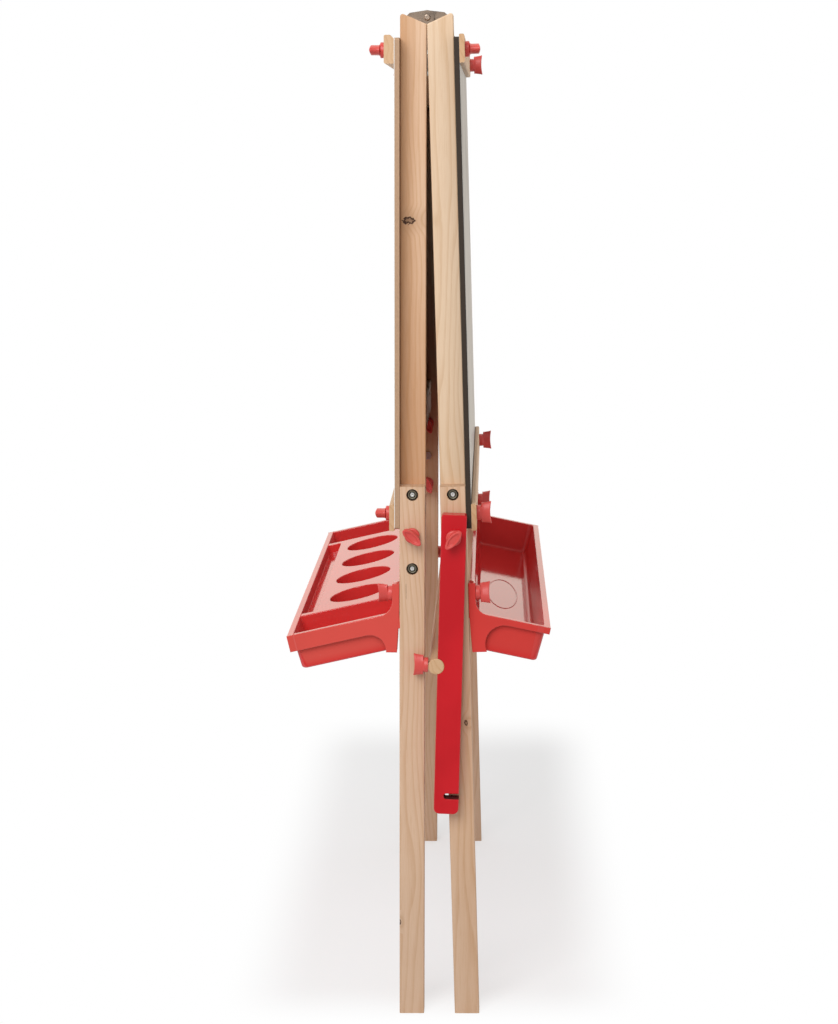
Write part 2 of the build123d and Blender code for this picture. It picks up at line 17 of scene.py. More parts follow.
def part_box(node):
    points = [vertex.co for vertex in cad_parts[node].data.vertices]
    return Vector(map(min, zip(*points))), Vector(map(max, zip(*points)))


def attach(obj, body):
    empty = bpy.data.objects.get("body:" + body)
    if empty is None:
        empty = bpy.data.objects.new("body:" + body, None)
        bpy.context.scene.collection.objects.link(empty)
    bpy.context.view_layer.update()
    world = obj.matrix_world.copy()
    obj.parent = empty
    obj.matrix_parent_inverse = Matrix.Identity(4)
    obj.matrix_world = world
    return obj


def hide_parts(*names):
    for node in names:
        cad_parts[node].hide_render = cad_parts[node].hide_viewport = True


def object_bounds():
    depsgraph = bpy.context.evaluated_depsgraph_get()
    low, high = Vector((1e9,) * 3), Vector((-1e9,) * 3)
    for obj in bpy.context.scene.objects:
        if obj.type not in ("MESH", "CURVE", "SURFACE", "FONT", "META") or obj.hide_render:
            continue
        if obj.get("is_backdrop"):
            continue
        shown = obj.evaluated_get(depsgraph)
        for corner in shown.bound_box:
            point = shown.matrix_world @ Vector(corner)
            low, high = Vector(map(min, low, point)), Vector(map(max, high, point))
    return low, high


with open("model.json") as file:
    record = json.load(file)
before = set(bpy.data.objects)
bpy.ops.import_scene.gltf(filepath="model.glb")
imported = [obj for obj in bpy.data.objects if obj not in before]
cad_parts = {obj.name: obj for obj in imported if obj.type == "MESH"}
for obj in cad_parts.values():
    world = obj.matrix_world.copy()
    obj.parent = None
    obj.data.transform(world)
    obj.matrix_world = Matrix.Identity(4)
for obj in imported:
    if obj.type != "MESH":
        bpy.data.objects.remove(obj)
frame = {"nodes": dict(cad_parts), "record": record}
CAD_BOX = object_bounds()

bl_info = {
    "name": "Standing easel",
    "version": (1, 0, 0),
    "blender": (4, 5, 0),
    "location": "View3D > Sidebar > Easel",
    "description": "Moulded trays, wing knobs, finishes and a studio for a double-sided standing easel",
    "category": "Add Mesh",
}

MM = 0.001
WHITE = (1.0, 1.0, 1.0)
WELD = 0.004 * MM  # points nearer than this are one
SLIVER = 0.001 * MM  # shorter edges are dissolved

# Frames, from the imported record
SIDES = {"dry_erase": -1, "chalkboard": 1}
ENDS = {"left": -1, "right": 1}
JOINTS = {joint["name"]: joint for joint in frame["record"]["behaviour"]["joints"]}
HINGE = np.array(JOINTS["fold"]["pos_m"])
OUT = {name: np.array(JOINTS[f"{name}_bottom_bar_slide"]["axis"]) for name in SIDES}
UP = {name: side * np.cross(OUT[name], (0, 1, 0)) for name, side in SIDES.items()}
HALF_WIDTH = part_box("dry_erase_leg_right")[1][1]
POST_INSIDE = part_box("dry_erase_post_right")[0][1]

# Timber, boards and bolts
POST_HALF = 15 * MM
BOARD_FACE = 36 * MM
LEG_BOLTS_DOWN = (543.5 * MM, 631.8 * MM)
BOLT_SINK = 4 * MM
SLOT_RISE = 22 * MM
# Painted shade on the hook slot's walls: dark within the first height of the slot's middle, gone past the
# second, and fading out between these depths in from the brace's faces
SLOT_SHADE_REACH = (3.8 * MM, 4.8 * MM)
SLOT_SHADE_FADE = (1.4 * MM, 0.5 * MM)
BOARD_SKIN = (0.8 * MM, 0.3 * MM)
LEG_DARKENING = (0.0, 0.35, 0.17)  # foot and head of the legs' darkening towards the foot, and its share
# Painted shade on the dry-erase posts, lighter at the top where more light falls: amber at full share below
# the first height, gone above the second
POST_LOW_SHADE = (0.66, 1.0, 0.5)
KNOTS = (  # x, z, half width, half height and depth of each knot
    (-4.7 * MM, 963.0 * MM, 8.4 * MM, 4.2 * MM, 1.0),
    (55.4 * MM, 370.2 * MM, 2.4 * MM, 3.4 * MM, 0.8),
    (-27.4 * MM, 118.7 * MM, 1.6 * MM, 3.6 * MM, 0.9),
    (-13.6 * MM, 533.2 * MM, 0.8 * MM, 9.0 * MM, 0.3),
)

# Wing knobs
SEAT_GAP = 0.05 * MM
FOOT_CHAMFER = 0.4 * MM
FOOT_SHOULDER = 1.2 * MM
WING_BLUNT = (0.62, 0.72)
WING_NECK = 0.15 * MM
WING_START = 0.6 * MM
WING_ROOT = 0.86
WING_FLARE = 0.12
WING_FILLET = 0.5 * MM
WING_RIM = 0.9 * MM
HOLLOW_START = 0.84
HOLLOW_STEP = 0.2
NUT_TURN = {"left": math.radians(70), "right": math.radians(115)}
ROD_KNOB_RISE = math.radians(2.2)
ROD_KNOB_GAP = 0.1 * MM

# Trays
JOIN = 0.5 * MM  # flat strip between a rounding and the face that it joins
RIM_BACK = 2 * MM
RIM_CLEAR = 0.3 * MM
RIM_CORNER = 2.5 * MM
SKIRT_FOOT = 0.6 * MM
SKIRT_INSIDE = 0.4 * MM
TUB_BACK = 33 * MM
TUB_INSET = 5 * MM
TUB_ROUND = 3.5 * MM
POCKET_CORNER = 5 * MM
OPEN_CORNER = 6.5 * MM
PANEL_EDGE = 0.9 * MM
PANEL_JOIN = 0.4 * MM
SPINE_CLEAR = 0.4 * MM
SPINE_CORNERS = np.array([2, 1.4, 1.4, 1.4, 1.4, 2]) * MM
EAR_TOP = 650 * MM
EAR_BACK = 30.2 * MM
EAR_FRONT = 38.6 * MM
EAR_BEND = 671.5 * MM
EAR_SWEEP = 20 * MM
EAR_WIDE = 20 * MM
FOOT_BACK = 33 * MM
FOOT_DOWN = 733.5 * MM
FOOT_ARCH = 731.7 * MM
CUP_ARCH = 44 * MM
CUP_FOOT = 13 * MM
OPEN_ARCH = 48 * MM
OPEN_FOOT = 17 * MM
WELL_COUNT = 4
WELL_SKIN = 2.5 * MM
OVAL_CENTRE = np.array([50, 0]) * MM
OVAL_SIZE = np.array([20.5, 82]) * MM
MATT_START = 0.8 * MM
# Distance past the rims' inner ends where the trays' painted end sheen starts
END_SHEEN_START = 0.4 * MM

# Tones that wear and dust bring, and the tone of a painted sheen
SCUFFED = (0.85, 0.42, 0.38)
# Painted sheen on the trays' end faces, a paler warm red
END_SHEEN = (0.80, 0.42, 0.30)
CHALK_DUST = (0.50, 0.47, 0.44)

# Studio, in metres
FLOOR_SIDE = 30.0
FLOOR_FRONT = -0.55
SHADOW_X = (-0.26, -0.14, 0.16, 0.28)
SHADOW_Y = (-0.345, -0.225, 0.70, 0.96)
FLOOR_GLOW = 1.3
FLOOR_GLOW_Y = (0.9, 1.8)
HORIZON = 0.86
KEY_SIZE = 1.8
KEY_PLACE = (-0.75, -2.5, 2.4)
KEY_TARGET = (0.0, 0.05, 0.6)
SENSOR = 36.0


def length_property(label, about, millimetres):
    """A size that a user can change."""
    return bpy.props.FloatProperty(name=label, description=about, default=millimetres * MM, unit="LENGTH")


def angle_property(label, about, degrees):
    """An angle that a user can change."""
    return bpy.props.FloatProperty(
        name=label, description=about, default=math.radians(degrees), subtype="ANGLE")


def colour_property(label, about, *colour):
    """A colour that a user can change."""
    return bpy.props.FloatVectorProperty(
        name=label, description=about, default=colour, subtype="COLOR", min=0, max=1)


def level_property(label, about, level, **limits):
    """A level of light or a share that a user can change."""
    return bpy.props.FloatProperty(name=label, description=about, default=level, min=0, **limits)


class EaselKnobs(bpy.types.PropertyGroup):
    """Sizes of the wing knobs, and the angles at which they stand."""

    flange_radius: length_property("Flange radius", "Radius of the round foot", 8.8)
    flange_height: length_property("Flange height", "Height of the round foot", 5.4)
    height: length_property("Height", "From the seat to the tips of the wing", 17.5)
    wing_half: length_property("Wing half length", "From the axis to a tip", 13.4)
    wing_thick: length_property("Wing thickness", "Half of the wing's thickness at the axis", 5.7)
    tip_thick: length_property("Tip thickness", "Half of the wing's thickness at a tip", 3.1)
    dish: length_property("Dish", "Depth of the hollow between the tips", 1.5)
    hollow: length_property("Hollow", "Depth of the sunk end inside its rim", 1.4)
    top_left: angle_property("Top left", "Turn of the left knobs on the top bars", 0)
    top_right: angle_property("Top right", "Turn of the right knobs on the top bars", 90)
    bottom_dry_erase: angle_property("Dry-erase bottom", "Turn of the knobs on that bar", 10)
    bottom_chalkboard: angle_property("Chalkboard bottom", "Turn of the knobs on that bar", 90)
    tray: angle_property("Trays", "Turn of the knobs on the trays", 65)
    hook: angle_property("Hooks", "Turn of the knobs on the hook bolts", -40)
    pivot: angle_property("Pivots", "Turn of the knobs on the braces", 48)


class EaselTrays(bpy.types.PropertyGroup):
    """Sizes of the two moulded trays."""

    tilt: angle_property("Tilt", "Fall of the rims towards the front", 13.3)
    back: length_property("Back", "Distance out of the rim's back edge", 31)
    rim_down: length_property("Rim drop", "Distance down of the rim's back edge", 683.7)
    cup_reach: length_property("Cup tray reach", "From the back to the front edge", 137)
    open_reach: length_property("Open tray reach", "From the back to the front edge", 98)
    cup_skirt: length_property("Cup tray skirt", "Height of the front edge", 20)
    open_skirt: length_property("Open tray skirt", "Height of the front edge", 8)
    rim_wide: length_property("Rim width", "Flat width of the rim", 8)
    wall: length_property("Wall", "Thickness of the moulding", 3)
    deep: length_property("Depth", "From the rim to the underside", 45)
    lip: length_property("Lip rounding", "Radius of the rims' edges", 1.1)
    root: length_property("Root rounding", "Radius between walls and floors", 4)
    draft: length_property("Draft", "How far a wall leans in over its depth", 2.5)
    well_radius: length_property("Well radius", "Radius of a cup well", 36.25)
    well_pitch: length_property("Well pitch", "Distance between cup wells", 103)
    well_reach: length_property("Well reach", "From the tray's back to the wells' centres", 59.8)
    well_deep: length_property("Well depth", "Depth of a cup well", 36)
    trough_back: length_property("Trough back", "From the tray's back to the front trough", 109.5)
    trough_half: length_property("Trough half length", "Half length of the front trough", 205)
    trough_deep: length_property("Trough depth", "Depth of the front trough", 12)
    end_trough: length_property("End troughs", "From the middle to the end troughs", 217)


class EaselColours(bpy.types.PropertyGroup):
    """Colours of the finishes."""

    pine: colour_property("Pine", "Wood of the legs", 0.70, 0.478, 0.325)
    pine_bar: colour_property("Yellow pine", "Wood of the rails, bars and rod", 0.65, 0.42, 0.24)
    # Painted shade on the dry-erase posts, near the board and over their lower part
    amber_shade: colour_property("Amber", "Deeper tone of the dry-erase posts", 0.50, 0.21, 0.07)
    pine_warm: colour_property("Warm pine", "Wood of the dry-erase posts", 0.775, 0.53, 0.36)
    pine_pale: colour_property("Pale pine", "Wood of the chalkboard posts", 0.79, 0.59, 0.41)
    summer: colour_property("Summer wood", "What growth lines leave of the wood's colour", 0.78, 0.64, 0.48)
    pine_knot: colour_property("Knots", "Heart of a knot", 0.055, 0.016, 0.001)
    tray: colour_property("Trays", "Moulded red of the trays", 0.64, 0.034, 0.032)
    knob: colour_property("Knobs", "Moulded red of the knobs", 0.68, 0.075, 0.064)
    brace: colour_property("Braces", "Red paint of the braces", 0.58, 0.007, 0.014)
    white_face: colour_property("Dry-erase face", "White face of the board", 0.86, 0.87, 0.86)
    black_face: colour_property("Chalk face", "Black face of the board", 0.030, 0.032, 0.034)
    hardboard: colour_property("Hardboard", "Pressed board at the edges and back", 0.45, 0.28, 0.17)
    zinc: colour_property("Zinc", "Plated bolts and studs", 0.62, 0.62, 0.60)
    collar: colour_property("Collars", "Olive plating around the bolts' cores", 0.21, 0.19, 0.12)
    bronze: colour_property("Bronze", "Bronzed hinge leaves", 0.30, 0.235, 0.185)


class EaselStage(bpy.types.PropertyGroup):
    """Camera, lamp, surroundings and floor of the studio."""

    eye: bpy.props.FloatVectorProperty(
        name="Eye", description="Place of the camera", default=(0.0896, -2.5744, 1.0614),
        subtype="TRANSLATION", unit="LENGTH")
    yaw: angle_property("Yaw", "Turn of the view about Z", 2.19)
    pitch: angle_property("Pitch", "Fall of the view", 10.863)
    roll: angle_property("Roll", "Turn of the picture", 0.842)
    lens: bpy.props.FloatProperty(
        name="Lens", description="Focal length for the long side of the picture", default=69.46,
        unit="CAMERA")
    key: bpy.props.FloatProperty(
        name="Key lamp", description="Power of the soft lamp at the left", default=56.0, unit="POWER")
    fill: level_property("Fill", "Strength of the light from all around", 0.62)
    backdrop: level_property("Backdrop", "Level that reflections see behind the easel", 1.4)
    glow: colour_property("Glow", "Warm tone of the backdrop in reflections", 1.0, 0.92, 0.82)
    room: level_property("Room", "Level that reflections see behind the camera", 0.06)
    floor: colour_property("Floor", "Pale floor", 0.88, 0.88, 0.88)
    bright: level_property("Bright floor", "Share of plain white over the floor's shadow", 0.5, max=1)


def on_frame(name, out, y, down):
    """Points of a leaning frame: the hinge plus out times its square direction less down times its up
    direction."""
    out, y, down = np.broadcast_arrays(*(np.asarray(v, float) for v in (out, y, down)))
    points = HINGE + out[..., None] * OUT[name] - down[..., None] * UP[name]
    points[..., 1] += y
    return points


def unit(vectors):
    """Vectors scaled to length one."""
    return vectors / np.linalg.norm(vectors, axis=-1, keepdims=True)


def rounded(corners, radius, steps=5):
    """Closed outline with round corners: at each corner an arc of the radius touches both sides, and its
    centre lies on the line that halves the corner, radius / sin(half the angle) away."""
    points = np.asarray(corners, float)
    before = unit(np.roll(points, 1, axis=0) - points)
    after = unit(np.roll(points, -1, axis=0) - points)
    half = np.arccos(np.clip((before * after).sum(1), -1, 1)) / 2
    radius = np.broadcast_to(np.asarray(radius, float), half.shape)
    centre = points + unit(before + after) * (radius / np.sin(half))[:, None]
    start = points + before * (radius / np.tan(half))[:, None] - centre
    turn = np.sign(before[:, 1] * after[:, 0] - before[:, 0] * after[:, 1]) * (math.pi - 2 * half)
    angle = np.arctan2(start[:, 1], start[:, 0])[:, None] + turn[:, None] * np.linspace(0, 1, steps + 1)
    arcs = centre[:, None] + radius[:, None, None] * np.stack([np.cos(angle), np.sin(angle)], -1)
    return arcs.reshape(-1, 2)


def oblong(low, high, span, radius, grow=0.0):
    """Rounded rectangle from low to high in x and over a span in y, grown outwards by a margin."""
    least = 0.2 * MM
    left, right, near, far = low - grow, high + grow, span[0] - grow, span[1] + grow
    corners = [(left, near), (right, near), (right, far), (left, far)]
    return rounded(corners, max(radius + grow, least))


def circle(centre, radius, steps=72):
    """Closed round outline."""
    angle = np.linspace(0, 2 * math.pi, steps, endpoint=False)
    return np.asarray(centre) + radius * np.stack([np.cos(angle), np.sin(angle)], -1)


def quarter(radius, steps=5):
    """Quarter circle of a radius r at angles b from 0 to 90 degrees: pairs r (1 - sin b), r (1 - cos b), the
    distances to the line on which it ends and from the line on which it starts."""
    bends = np.linspace(0, math.pi / 2, steps)
    return radius * np.stack([1 - np.sin(bends), 1 - np.cos(bends)], -1)


def ring(outline, height):
    """An outline lifted to a height, or to one height for each point."""
    return np.column_stack([outline, np.broadcast_to(height, len(outline))])


def grown(outline, margin):
    """Outline moved outwards by a margin along the line that halves each corner, for one drawn
    anticlockwise."""
    least = 0.35
    before = unit(outline - np.roll(outline, 1, axis=0))
    after = unit(np.roll(outline, -1, axis=0) - outline)
    normal = unit(np.stack([before[:, 1] + after[:, 1], -before[:, 0] - after[:, 0]], -1))
    stretch = (normal * np.stack([after[:, 1], -after[:, 0]], -1)).sum(1)
    return outline + margin * normal / np.maximum(stretch, least)[:, None]


def inside(points, outline):
    """For each point, whether a level line from it crosses the outline an odd number of times."""
    a, b = outline, np.roll(outline, -1, axis=0)
    x, y = points[:, :1], points[:, 1:]
    spans = (a[:, 1] > y) != (b[:, 1] > y)
    rise = np.where(b[:, 1] == a[:, 1], 1, b[:, 1] - a[:, 1])
    crossing = a[:, 0] + (y - a[:, 1]) * (b[:, 0] - a[:, 0]) / rise
    return (spans & (x < crossing)).sum(1) % 2 == 1


class Skin:
    """Grows one closed mesh from lofted rings and flat regions, each put in place by a function of its
    points."""

    def __init__(self):
        self.points, self.faces, self.count = [], [], 0

    def _keep(self, points, faces):
        self.points.append(points.reshape(-1, 3))
        self.faces += (faces + self.count).tolist()
        self.count += len(self.points[-1])

    def loft(self, rings, place):
        """Quads between closed rings of equal length: points j and j + 1 of ring i, then of ring i + 1."""
        grid = place(np.asarray(rings))
        rows, steps = grid.shape[:2]
        index = np.arange(rows * steps).reshape(rows, steps)
        ahead = np.roll(index, -1, axis=1)
        quads = np.stack([index[:-1], ahead[:-1], ahead[1:], index[1:]], -1).reshape(-1, 4)
        self._keep(grid, quads)

    def region(self, outer, holes, height, place):
        """Flat triangles inside an outline and outside its holes, at one height, by constrained
        triangulation."""
        loops = [outer, *holes]
        edges, start = [], 0
        for loop in loops:
            index = np.arange(len(loop))
            edges += np.column_stack([start + index, start + np.roll(index, -1)]).tolist()
            start += len(loop)
        made = delaunay_2d_cdt(np.concatenate(loops).tolist(), edges, [], 0, 1e-7)
        corners = np.array(made[0])
        triangles = np.array(made[2])
        middle = corners[triangles].mean(1)
        keep = inside(middle, outer)
        for hole in holes:
            keep &= ~inside(middle, hole)
        self._keep(place(ring(corners, height)), triangles[keep])

    def build(self, name, material, sharp=36):
        """Welds the grown faces into an object with its normals outwards and edges sharp past an angle in
        degrees."""
        mesh = bpy.data.meshes.new(name)
        mesh.from_pydata(np.concatenate(self.points).tolist(), [], self.faces)
        work = bmesh.new()
        work.from_mesh(mesh)
        bmesh.ops.remove_doubles(work, verts=work.verts, dist=WELD)
        bmesh.ops.dissolve_degenerate(work, edges=work.edges, dist=SLIVER)
        bmesh.ops.recalc_face_normals(work, faces=work.faces)
        work.to_mesh(mesh)
        work.free()
        mesh.shade_smooth()
        mesh.set_sharp_from_angle(angle=math.radians(sharp))
        mesh.materials.append(material)
        return linked(name, mesh)


def linked(name, data):
    """A new object with its data, in the scene."""
    made = bpy.data.objects.new(name, data)
    bpy.context.collection.objects.link(made)
    return made


def arithmetic(operation, reflected=False):
    """An operator of a socket, which adds a Math node, with the operands swapped where it is reflected."""
    def apply(socket, other):
        pair = (other, socket) if reflected else (socket, other)
        return socket.finish.maths(operation, *pair)
    return apply


class Socket:
    """A value in a material. Its operators add Math nodes, so that shader maths reads as Python."""

    def __init__(self, finish, link):
        self.finish, self.link = finish, link

    __add__, __radd__ = arithmetic("ADD"), arithmetic("ADD", True)
    __sub__, __rsub__ = arithmetic("SUBTRACT"), arithmetic("SUBTRACT", True)
    __mul__, __rmul__ = arithmetic("MULTIPLY"), arithmetic("MULTIPLY", True)
    __truediv__, __pow__ = arithmetic("DIVIDE"), arithmetic("POWER")

    def __abs__(self):
        return self.finish.maths("ABSOLUTE", self)


class Nodes:
    """A node tree, with one method that adds any node and short ones for the sums that finishes share."""

    def __init__(self, tree):
        self.tree = tree

    def node(self, kind, settings=None, inputs=None, output=0):
        """Adds a node, sets it up, then fills its sockets with values or links, and gives one of its
        outputs."""
        made = self.tree.nodes.new(f"ShaderNode{kind}")
        for label, value in (settings or {}).items():
            setattr(made, label, value)
        for label, value in (inputs or {}).items():
            self.feed(made.inputs[label], value)
        return Socket(self, made.outputs[output])

    def feed(self, socket, value):
        """Links a value of this tree to a socket, or writes a plain value on it."""
        if isinstance(value, Socket):
            self.tree.links.new(value.link, socket)
        elif hasattr(socket.default_value, "__len__") and len(socket.default_value) == len(value) + 1:
            socket.default_value = (*value, 1)
        else:
            socket.default_value = value

    def maths(self, operation, *values):
        return self.node("Math", {"operation": operation}, dict(enumerate(values)))

    def parts(self, vector):
        """The x, y and z of a vector."""
        split = self.node("SeparateXYZ", inputs={0: vector})
        return [Socket(self, split.link.node.outputs[k]) for k in range(3)]

    def vector(self, x, y, z):
        return self.node("CombineXYZ", inputs={0: x, 1: y, 2: z})

    def noise(self, where, scale, detail=2.0, roughness=0.5):
        inputs = {"Vector": where, "Scale": scale, "Detail": detail, "Roughness": roughness}
        return self.node("TexNoise", inputs=inputs)

    def drawn(self, axes, stretch, scale, detail=2.0, roughness=0.5):
        """Noise drawn out along an axis: each coordinate is first multiplied by its own stretch."""
        where = self.vector(*(axis * factor for axis, factor in zip(axes, stretch)))
        return self.noise(where, scale, detail, roughness)

    def smooth(self, value, low, high):
        """Zero below low, one above high, and a soft step between."""
        settings = {"interpolation_type": "SMOOTHSTEP"}
        return self.node("MapRange", settings, {"Value": value, "From Min": low, "From Max": high})

    def band(self, value, start, full, fade, end):
        """One from full to fade, zero below start and above end, and soft steps between."""
        return self.smooth(value, start, full) * (1 - self.smooth(value, fade, end))

    def mix(self, factor, first, second):
        """First colour where the factor is zero, second where it is one."""
        return self.node("Mix", {"data_type": "RGBA"}, {0: factor, 6: first, 7: second}, 2)

    def ray(self, kind):
        """One on rays of a kind, such as Camera or Glossy."""
        return self.node("LightPath", output=f"Is {kind} Ray")


class Finish(Nodes):
    """A procedural material: a Principled shader with its plain values, and what feeds it."""

    def __init__(self, name, **values):
        self.material = bpy.data.materials.new(name)
        self.material.use_nodes = True
        super().__init__(self.material.node_tree)
        self.shader = self.tree.nodes["Principled BSDF"]
        for label, value in values.items():
            label = label.replace("_", " ").title().replace("Ior", "IOR")
            self.shader.inputs[label].default_value = value

    def place(self):
        """The point on the object, in metres."""
        return self.node("TexCoord", output="Object")

    def show(self, label, value):
        """Feeds one of the shader's own sockets."""
        self.feed(self.shader.inputs[label], value)

    def relief(self, height, distance, strength):
        """Bumps the surface by a height, at a depth in metres."""
        inputs = {"Height": height, "Distance": distance, "Strength": strength}
        self.show("Normal", self.node("Bump", inputs=inputs))


def shade(colour, factor):
    """A colour made darker or lighter."""
    return tuple(min(1.0, c * factor) for c in colour)


def out_of_frame(x, z, name):
    """A point's distance out of a frame's board, from two of its coordinates in a finish."""
    outer = OUT[name]
    return x * float(outer[0]) + z * float(outer[2]) - float(HINGE.dot(outer))


def knots(wood, x, y, z, face):
    """How dark a point is with knots, and how far the growth lines swell around them.

    A knot is a ragged lens on the near face, which is at a value of Y: in its own half sizes it reaches to
    x^2 + |z| = 1. It is darkest towards its rim.
    """
    near = 1 - wood.smooth(y, face + 4 * MM, face + 9 * MM)
    ragged = (wood.noise(wood.place(), scale=330.0) - 0.5) * 1.9
    heart = swell = 0.0
    for knot_x, knot_z, wide, tall, depth in KNOTS:
        across, upward = (x - knot_x) / wide, (z - knot_z) / tall
        square = across * across
        rough = square + abs(upward) + ragged
        rim = 0.5 + wood.smooth(rough, 0.15, 0.5) * 0.6
        heart = heart + (1 - wood.smooth(rough, 0.9, 1.1)) * rim * near * depth
        spread = (square + upward * upward) ** 0.5
        swell = swell + (1 - wood.smooth(spread, 0.6, 5.0)) * near * depth
    return heart, swell


def pine(name, spring, colours, along, face=None, board_shade_side=None, darkening=None):
    """Lacquered pine with its grain along Y or Z.

    Growth lines are the steep end of a saw wave of the distance across the stick, which wanders slowly along
    it. Fine fibres and pores are noise drawn out along the grain. A near face can have knots. The side of a
    frame's posts towards the board can get painted shade, darker and more amber, where the board's edge
    shades it. A darkening can deepen from a height down to a foot, by a share; on the dry-erase posts it is
    painted shade.
    """
    wood = Finish(name, ior=1.5, coat_weight=0.10, coat_roughness=0.3)
    summer = tuple(c * keep for c, keep in zip(spring, colours.summer))
    x, y, z = wood.parts(wood.place())
    stick = (x, z, y) if along == "Y" else (x, y, z)
    wander = wood.drawn(stick, (9.0, 9.0, 1.1), scale=2.2)
    drift = wood.drawn(stick, (14.0, 3.0, 1.2), scale=1.6, detail=1.0)
    fibre = wood.drawn(stick, (60.0, 60.0, 1.6), scale=26.0, detail=3.0, roughness=0.6)
    pore = wood.smooth(wood.drawn(stick, (90.0, 90.0, 3.0), scale=18.0, detail=1.0), 0.62, 0.75)
    heart, swell = (0.0, 0.0) if face is None else knots(wood, x, y, z, face)
    lines_across, lines_deep = 130.0, 85.0
    lines = stick[0] * lines_across + stick[1] * lines_deep + wander * 9.0 + swell * 1.4
    late = wood.band(wood.maths("FRACT", lines), 0.45, 0.94, 0.94, 1.0)
    dark = late * 0.36 + wood.smooth(fibre, 0.4, 0.75) * 0.26 + pore * 0.14
    dark = dark + wood.smooth(drift, 0.3, 0.7) * 0.34
    # Painted shade on the side of the posts towards the board, under its overhanging edge
    if board_shade_side:
        inward = wood.smooth(out_of_frame(x, z, board_shade_side), 6 * MM, 28 * MM)
        colour = wood.mix(dark + inward * 0.55, spring, summer)
        colour = wood.mix(inward * 0.16, colour, colours.amber_shade)
    else:
        colour = wood.mix(dark, spring, summer)
    colour = wood.mix(swell * 0.30, colour, shade(summer, 0.7))
    colour = wood.mix(heart, colour, colours.pine_knot)
    # Darker towards the foot: on the legs, and as painted shade on the dry-erase posts
    if darkening:
        foot, head, share, tone = darkening
        colour = wood.mix((1 - wood.smooth(z, foot, head)) * share, colour, tone)
    wood.show("Base Color", colour)
    wood.show("Roughness", 0.52 - late * 0.10 + fibre * 0.12)
    wood.relief(fibre * 0.6 + late * 0.4 - heart * 0.5, distance=0.12 * MM, strength=0.5)
    return wood.material


def moulded(name, colour, roughness, grain, matt=None, end_sheen=None):
    """Moulded plastic: a fine orange-peel skin, slow drifts of tone and gloss, and faint scuffs along the
    edges of noise cells. A wall given by its square direction, its span along it and a share can be left
    matt. The ends that lie beyond a distance from the middle can take a painted sheen, by a share."""
    plastic = Finish(name, ior=1.5, specular_ior_level=0.55)
    where = plastic.place()
    drift = plastic.noise(where, scale=9.0, detail=3.0)
    skin = plastic.noise(where, grain)
    scuff = plastic.smooth(plastic.noise(where, scale=260.0, detail=4.0, roughness=0.7), 0.66, 0.78)
    tint = plastic.mix(plastic.smooth(drift, 0.25, 0.75), shade(colour, 0.93), shade(colour, 1.06))
    # Painted sheen: the ends beyond the start are paler and warmer
    if end_sheen:
        start, share = end_sheen
        beyond = plastic.smooth(abs(plastic.parts(where)[1]), start, start + 0.8 * MM)
        tint = plastic.mix(beyond * share, tint, END_SHEEN)
    plastic.show("Base Color", plastic.mix(scuff * 0.12, tint, SCUFFED))
    gloss = roughness + drift * 0.08 + scuff * 0.12
    if matt:
        direction, low, high, share = matt
        fade = 0.6 * MM
        inputs = {0: where, 1: direction.tolist()}
        along = plastic.node("VectorMath", {"operation": "DOT_PRODUCT"}, inputs, "Value")
        gloss = gloss + plastic.band(along, low - fade, low, high, high + fade) * share
    plastic.show("Roughness", gloss)
    plastic.relief(skin, distance=0.05 * MM, strength=0.18)
    return plastic.material


def gloss_paint(name, colour, low, high):
    """Gloss paint over wood, for the braces in a box: the grain shows faintly as long ripples, and the gloss
    varies in slow patches. The walls of the hook slot, inside the brace's thickness, get painted shade, a
    dark red, and hardly any gloss."""
    paint = Finish(name, ior=1.45, coat_roughness=0.10)
    where = paint.place()
    x, y, z = paint.parts(where)
    ripple = paint.drawn((x, y, z), (70.0, 70.0, 2.0), scale=12.0)
    patch = paint.noise(where, scale=14.0)
    speck = paint.smooth(paint.noise(where, scale=420.0), 0.70, 0.78)
    middle, half = abs(low[1] + high[1]) / 2, (high[1] - low[1]) / 2
    level, depth = abs(z - (low[2] + SLOT_RISE)), abs(abs(y) - middle)
    # Painted shade: bare is one on the walls of the hook slot, which get a dark red
    bare = 1 - paint.smooth(level, *SLOT_SHADE_REACH)
    bare = bare * (1 - paint.smooth(depth, *(half - roll for roll in SLOT_SHADE_FADE)))
    tint = paint.mix(paint.smooth(patch, 0.3, 0.7), shade(colour, 0.92), shade(colour, 1.05))
    tint = paint.mix(speck * 0.10, tint, shade(colour, 0.6))
    paint.show("Base Color", paint.mix(bare, tint, shade(colour, 0.2)))
    paint.show("Roughness", 0.24 + ripple * 0.10 + patch * 0.06 + bare * 0.55)
    paint.show("Coat Weight", 0.25 - bare * 0.25)
    paint.relief(ripple, distance=0.07 * MM, strength=0.35)
    return paint.material


def plated(name, colour, roughness, tarnish, bare=1.0):
    """Plated steel, with a share of bare metal: brushed noise drawn out along Z, and tarnish in soft
    patches."""
    steel = Finish(name, ior=2.2)
    where = steel.place()
    brush = steel.drawn(steel.parts(where), (900.0, 900.0, 60.0), scale=1.0, detail=3.0)
    patch = steel.smooth(steel.noise(where, scale=95.0, detail=3.0), 0.42, 0.68) * tarnish
    steel.show("Base Color", steel.mix(patch, colour, shade(colour, 0.45)))
    steel.show("Metallic", bare - patch * 0.35)
    steel.show("Roughness", roughness + brush * 0.12 + patch * 0.25)
    steel.relief(brush, distance=0.02 * MM, strength=0.25)
    return steel.material


